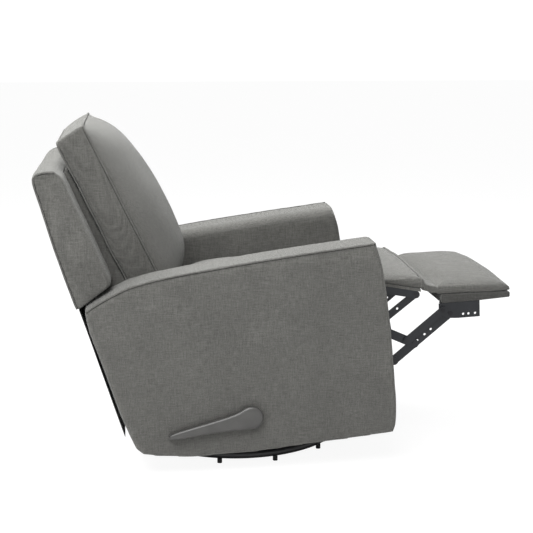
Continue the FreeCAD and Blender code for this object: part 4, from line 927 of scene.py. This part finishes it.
# Footrest pad and its board
# The pad is soft foam, highest behind its middle and thin at its front edge, stapled down over a board that
# is wrapped in the same cloth, darker as painted shade. The board is screwed to the footrest brackets.
FOOT_REAR, FOOT_FRONT, FOOT_HALF = 0.577, 0.800, 0.253
FOOT_LIFT = [(0, 0.35), (0.06, 0.75), (0.2, 0.97), (0.4, 1), (0.64, 1), (0.80, 0.84), (0.90, 0.55),
             (0.96, 0.30), (1, 0.05)]


def foot_lift(share):
    shares, lifts = zip(*FOOT_LIFT)
    return float(np.interp(share, shares, lifts))


def foot_edge(share):
    """The height of the pad's shoulder along its sides, which rolls down at the front."""
    return 0.4535 - 0.008 * share - 0.006 * max(0, (share - 0.9) / 0.1) ** 2


def foot_bottom(share):
    return 0.4297 - 0.007 * share


def swell_pad(pad, rear, level, fall):
    """Swells a pad above its board, whose edge starts at a level in the rear and falls to the front."""
    spots = corners_of(pad.data)
    low_edge = tipped_height(level, spots[:, 0]) - fall * (spots[:, 0] - rear)
    balloon(pad, (spots[:, 2] < low_edge).astype(float), pressure=3.0, cap=0.003)
    finer(pad)


foot_shape = crowned_slab(
    FOOT_REAR, FOOT_FRONT, FOOT_HALF, low=foot_bottom, edge_top=foot_edge, rise=0.030,
    lift_along=foot_lift, dome=2,
)
for vertex in foot_shape.verts:
    below_shoulder = tipped_height(0.4480, vertex.co.x) - vertex.co.z
    vertex.co.y *= 1 - 0.03 * max(0, min(1, below_shoulder / 0.018))
foot_pad = as_piece("footrest_pad_cover", foot_shape, grey_weave)
even_mesh(foot_pad, PAD_VOXEL, relax=2)
swell_pad(foot_pad, FOOT_REAR, level=0.4435, fall=0.03)
ripple(foot_pad, size=0.08, height=0.0015, seed=7.7)
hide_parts("footrest_pad")
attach(foot_pad, "footrest")

BOARD_HALF = 0.2515
BOARD_OUTLINE = [(0.590, 0.4022), (0.708, 0.4024), (0.7975, 0.4055), (0.7980, 0.4215), (0.5905, 0.4285)]
board_shape = prism(BOARD_OUTLINE, BOARD_HALF)
tipped(board_shape)
round_edges(board_shape, board_shape.edges[:], radius=0.004, segments=3)
board = as_piece("footrest_board_cover", board_shape, board_weave_painted_shade)
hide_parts("footrest_board")
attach(board, "footrest")

# Mid pad
# A flap of padded cloth that fills the space between the seat and the footrest. It is wrapped round a thin
# board on the mid brackets, with a corded seam across its front edge.
MID_REAR, MID_FRONT, MID_HALF = 0.372, 0.542, 0.2505


MID_SEAM_SETBACK = 0.009
MID_SEAM_TOP = (0, 0.503)
MID_SEAM_SIDE = [(0.2525, 0.452), (0.2525, 0.470), (0.246, 0.485), (0.225, 0.492), (0.12, 0.500)]


def mid_board_top(share):
    return 0.4875 - 0.0395 * share


def mid_edge(share):
    """The height of the pad's shoulder along its sides."""
    return 0.489 - 0.009 * share ** 2


def mid_lift(share):
    return 1 - 0.3 * share ** 3


mid_shape = crowned_slab(
    MID_REAR, MID_FRONT, MID_HALF, low=mid_board_top, edge_top=mid_edge, rise=0.016,
    lift_along=mid_lift, dome=2,
)
mid_pad = as_piece("mid_pad_cover", mid_shape, grey_weave)
even_mesh(mid_pad, PAD_VOXEL, relax=5)
swell_pad(mid_pad, MID_REAR, level=0.4935, fall=0.232)
ripple(mid_pad, size=0.07, height=0.0015, seed=4.1)
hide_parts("mid_pad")
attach(mid_pad, "mid_rest")
mid_round = [(-y, z) for y, z in MID_SEAM_SIDE] + [MID_SEAM_TOP] + MID_SEAM_SIDE[::-1]
mid_line = [(MID_FRONT - MID_SEAM_SETBACK, y, z) for y, z in mid_round]
mid_seam = divide_path(tipped_points(mid_line))
corded_seam(mid_pad, "mid_pad_cord", mid_seam, "mid_rest", radius=0.0032)
paint_nodes(grey_weave, "mid_board")

# Gusset between the two pads
# Loose cloth from the rear of the footrest pad to the front of the mid pad, so that no gap opens between
# them.
GUSSET_HALF = 0.2475
GUSSET_OUTLINE = [(0.533, 0.4480), (0.560, 0.4350), (0.592, 0.4290), (0.600, 0.4440), (0.575, 0.4540),
                  (0.556, 0.4600), (0.533, 0.4690)]
gusset_shape = prism(GUSSET_OUTLINE, GUSSET_HALF)
tipped(gusset_shape)
gusset = as_piece("pad_gusset", gusset_shape, grey_weave)
even_mesh(gusset, GUSSET_VOXEL, relax=3)
ripple(gusset, size=0.018, height=0.0022, seed=6.4)
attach(gusset, "footrest")
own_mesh(gusset)

# Release handle
# A moulded plastic lever with a round dished hub and a blade that narrows towards its tip, with a soft
# ridge along the top of the blade. It is pressed on the steel shaft outside the right arm.
handle_grey = new_material("moulded_grey", (0.055, 0.054, 0.052), 0.30)
shader_of(handle_grey).inputs["Specular IOR Level"].default_value = 0.5
mottle = object_noise(handle_grey, (20, 20, 20), 4)
tint(handle_grey, mottle, [(0.3, (0.048, 0.047, 0.045)), (0.7, (0.064, 0.063, 0.060))])
bump(handle_grey, object_noise(handle_grey, (1400, 1400, 1400), 1), 0.00025, 0.6)
HANDLE_TURN = 8.5 + TIP
HANDLE_PLACE = (-0.0002, -0.4042, 0.1697)
HANDLE_OUTLINE = [(0.0345, 0.004), (0.031, 0.017), (0.020, 0.029), (0.006, 0.0345), (-0.010, 0.0335),
                  (-0.024, 0.0275), (-0.040, 0.0228), (-0.070, 0.0192), (-0.130, 0.0150),
                  (-0.190, 0.0115), (-0.222, 0.0092), (-0.2355, 0.0040), (-0.2350, -0.0040),
                  (-0.224, -0.0090), (-0.130, -0.0165), (-0.055, -0.0240), (-0.012, -0.0330),
                  (0.004, -0.0345), (0.020, -0.0285), (0.031, -0.0160)]
HANDLE_STEPS = ((-0.010, 1.0), (-0.005, 0.95), (-0.0035, 0.82), (-0.001, 0.60))
BLADE_START = -0.02
HUB_DRAW, BLADE_DRAW = 0.5, 0.06


def spine_at(x):
    """The height of the lever's middle line, which drops a little towards the tip."""
    return 0.0 if x > BLADE_START else -0.004 + 0.02 * (x - BLADE_START)


handle_shape = bmesh.new()
rim = [handle_shape.verts.new((x, 0, z)) for x, z in HANDLE_OUTLINE]
faces = bmesh.ops.contextual_create(handle_shape, geom=rim)["faces"]
for out, shrink in HANDLE_STEPS:
    made = bmesh.ops.extrude_face_region(handle_shape, geom=faces)["geom"]
    bmesh.ops.delete(handle_shape, geom=faces, context="FACES_ONLY")
    faces = [part for part in made if isinstance(part, bmesh.types.BMFace)]
    for vertex in only_vertices(made):
        spine_z = spine_at(vertex.co.x)
        vertex.co.y += out
        vertex.co.z = spine_z + (vertex.co.z - spine_z) * shrink
        vertex.co.x *= 1 - (1 - shrink) * (HUB_DRAW if vertex.co.x > 0 else BLADE_DRAW)
bmesh.ops.contextual_create(handle_shape, geom=rim)
turn = Matrix.Rotation(-math.radians(HANDLE_TURN), 3, "Y")
bmesh.ops.rotate(handle_shape, verts=handle_shape.verts, cent=(0, 0, 0), matrix=turn)
bmesh.ops.translate(handle_shape, verts=handle_shape.verts, vec=HANDLE_PLACE)
handle = as_piece("release_lever", handle_shape, handle_grey)
finer(handle, 2)
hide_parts("release_handle")
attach(handle, "handle")

# Rear cloth
# A sheet of thin black cloth, stapled to the lower rail behind the arms and to the bottom of the outer
# back. It hides the frame.
black_cloth = upholstery("black_cloth", grey(0.006), grey(0.014), 0.0012)
CLOTH_LOW = (-0.3492, 0.1045)
CLOTH_TOP = (-0.4652, 0.4740)
CLOTH_HALF = 0.344
CLOTH_SAG = 0.004
sheet_shape = bmesh.new()
bmesh.ops.create_grid(sheet_shape, x_segments=40, y_segments=24, size=1)
for vertex in sheet_shape.verts:
    share = (vertex.co.y + 1) / 2
    sag = CLOTH_SAG * math.sin(math.pi * share) * (1 - vertex.co.x ** 2)
    crease = 0.0012 * noise.noise(Vector((vertex.co.x * 5, share * 2, 3.0)))
    x = CLOTH_LOW[0] + (CLOTH_TOP[0] - CLOTH_LOW[0]) * share
    z = CLOTH_LOW[1] + (CLOTH_TOP[1] - CLOTH_LOW[1]) * share
    vertex.co = (x + sag + crease, vertex.co.x * CLOTH_HALF, z)
rear_sheet = as_piece("rear_black_cloth", sheet_shape, black_cloth)
thicken = rear_sheet.modifiers.new("thickness", "SOLIDIFY")
thicken.thickness = 0.0008
apply_modifiers(rear_sheet)
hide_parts("rear_cloth")
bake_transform(rear_sheet)
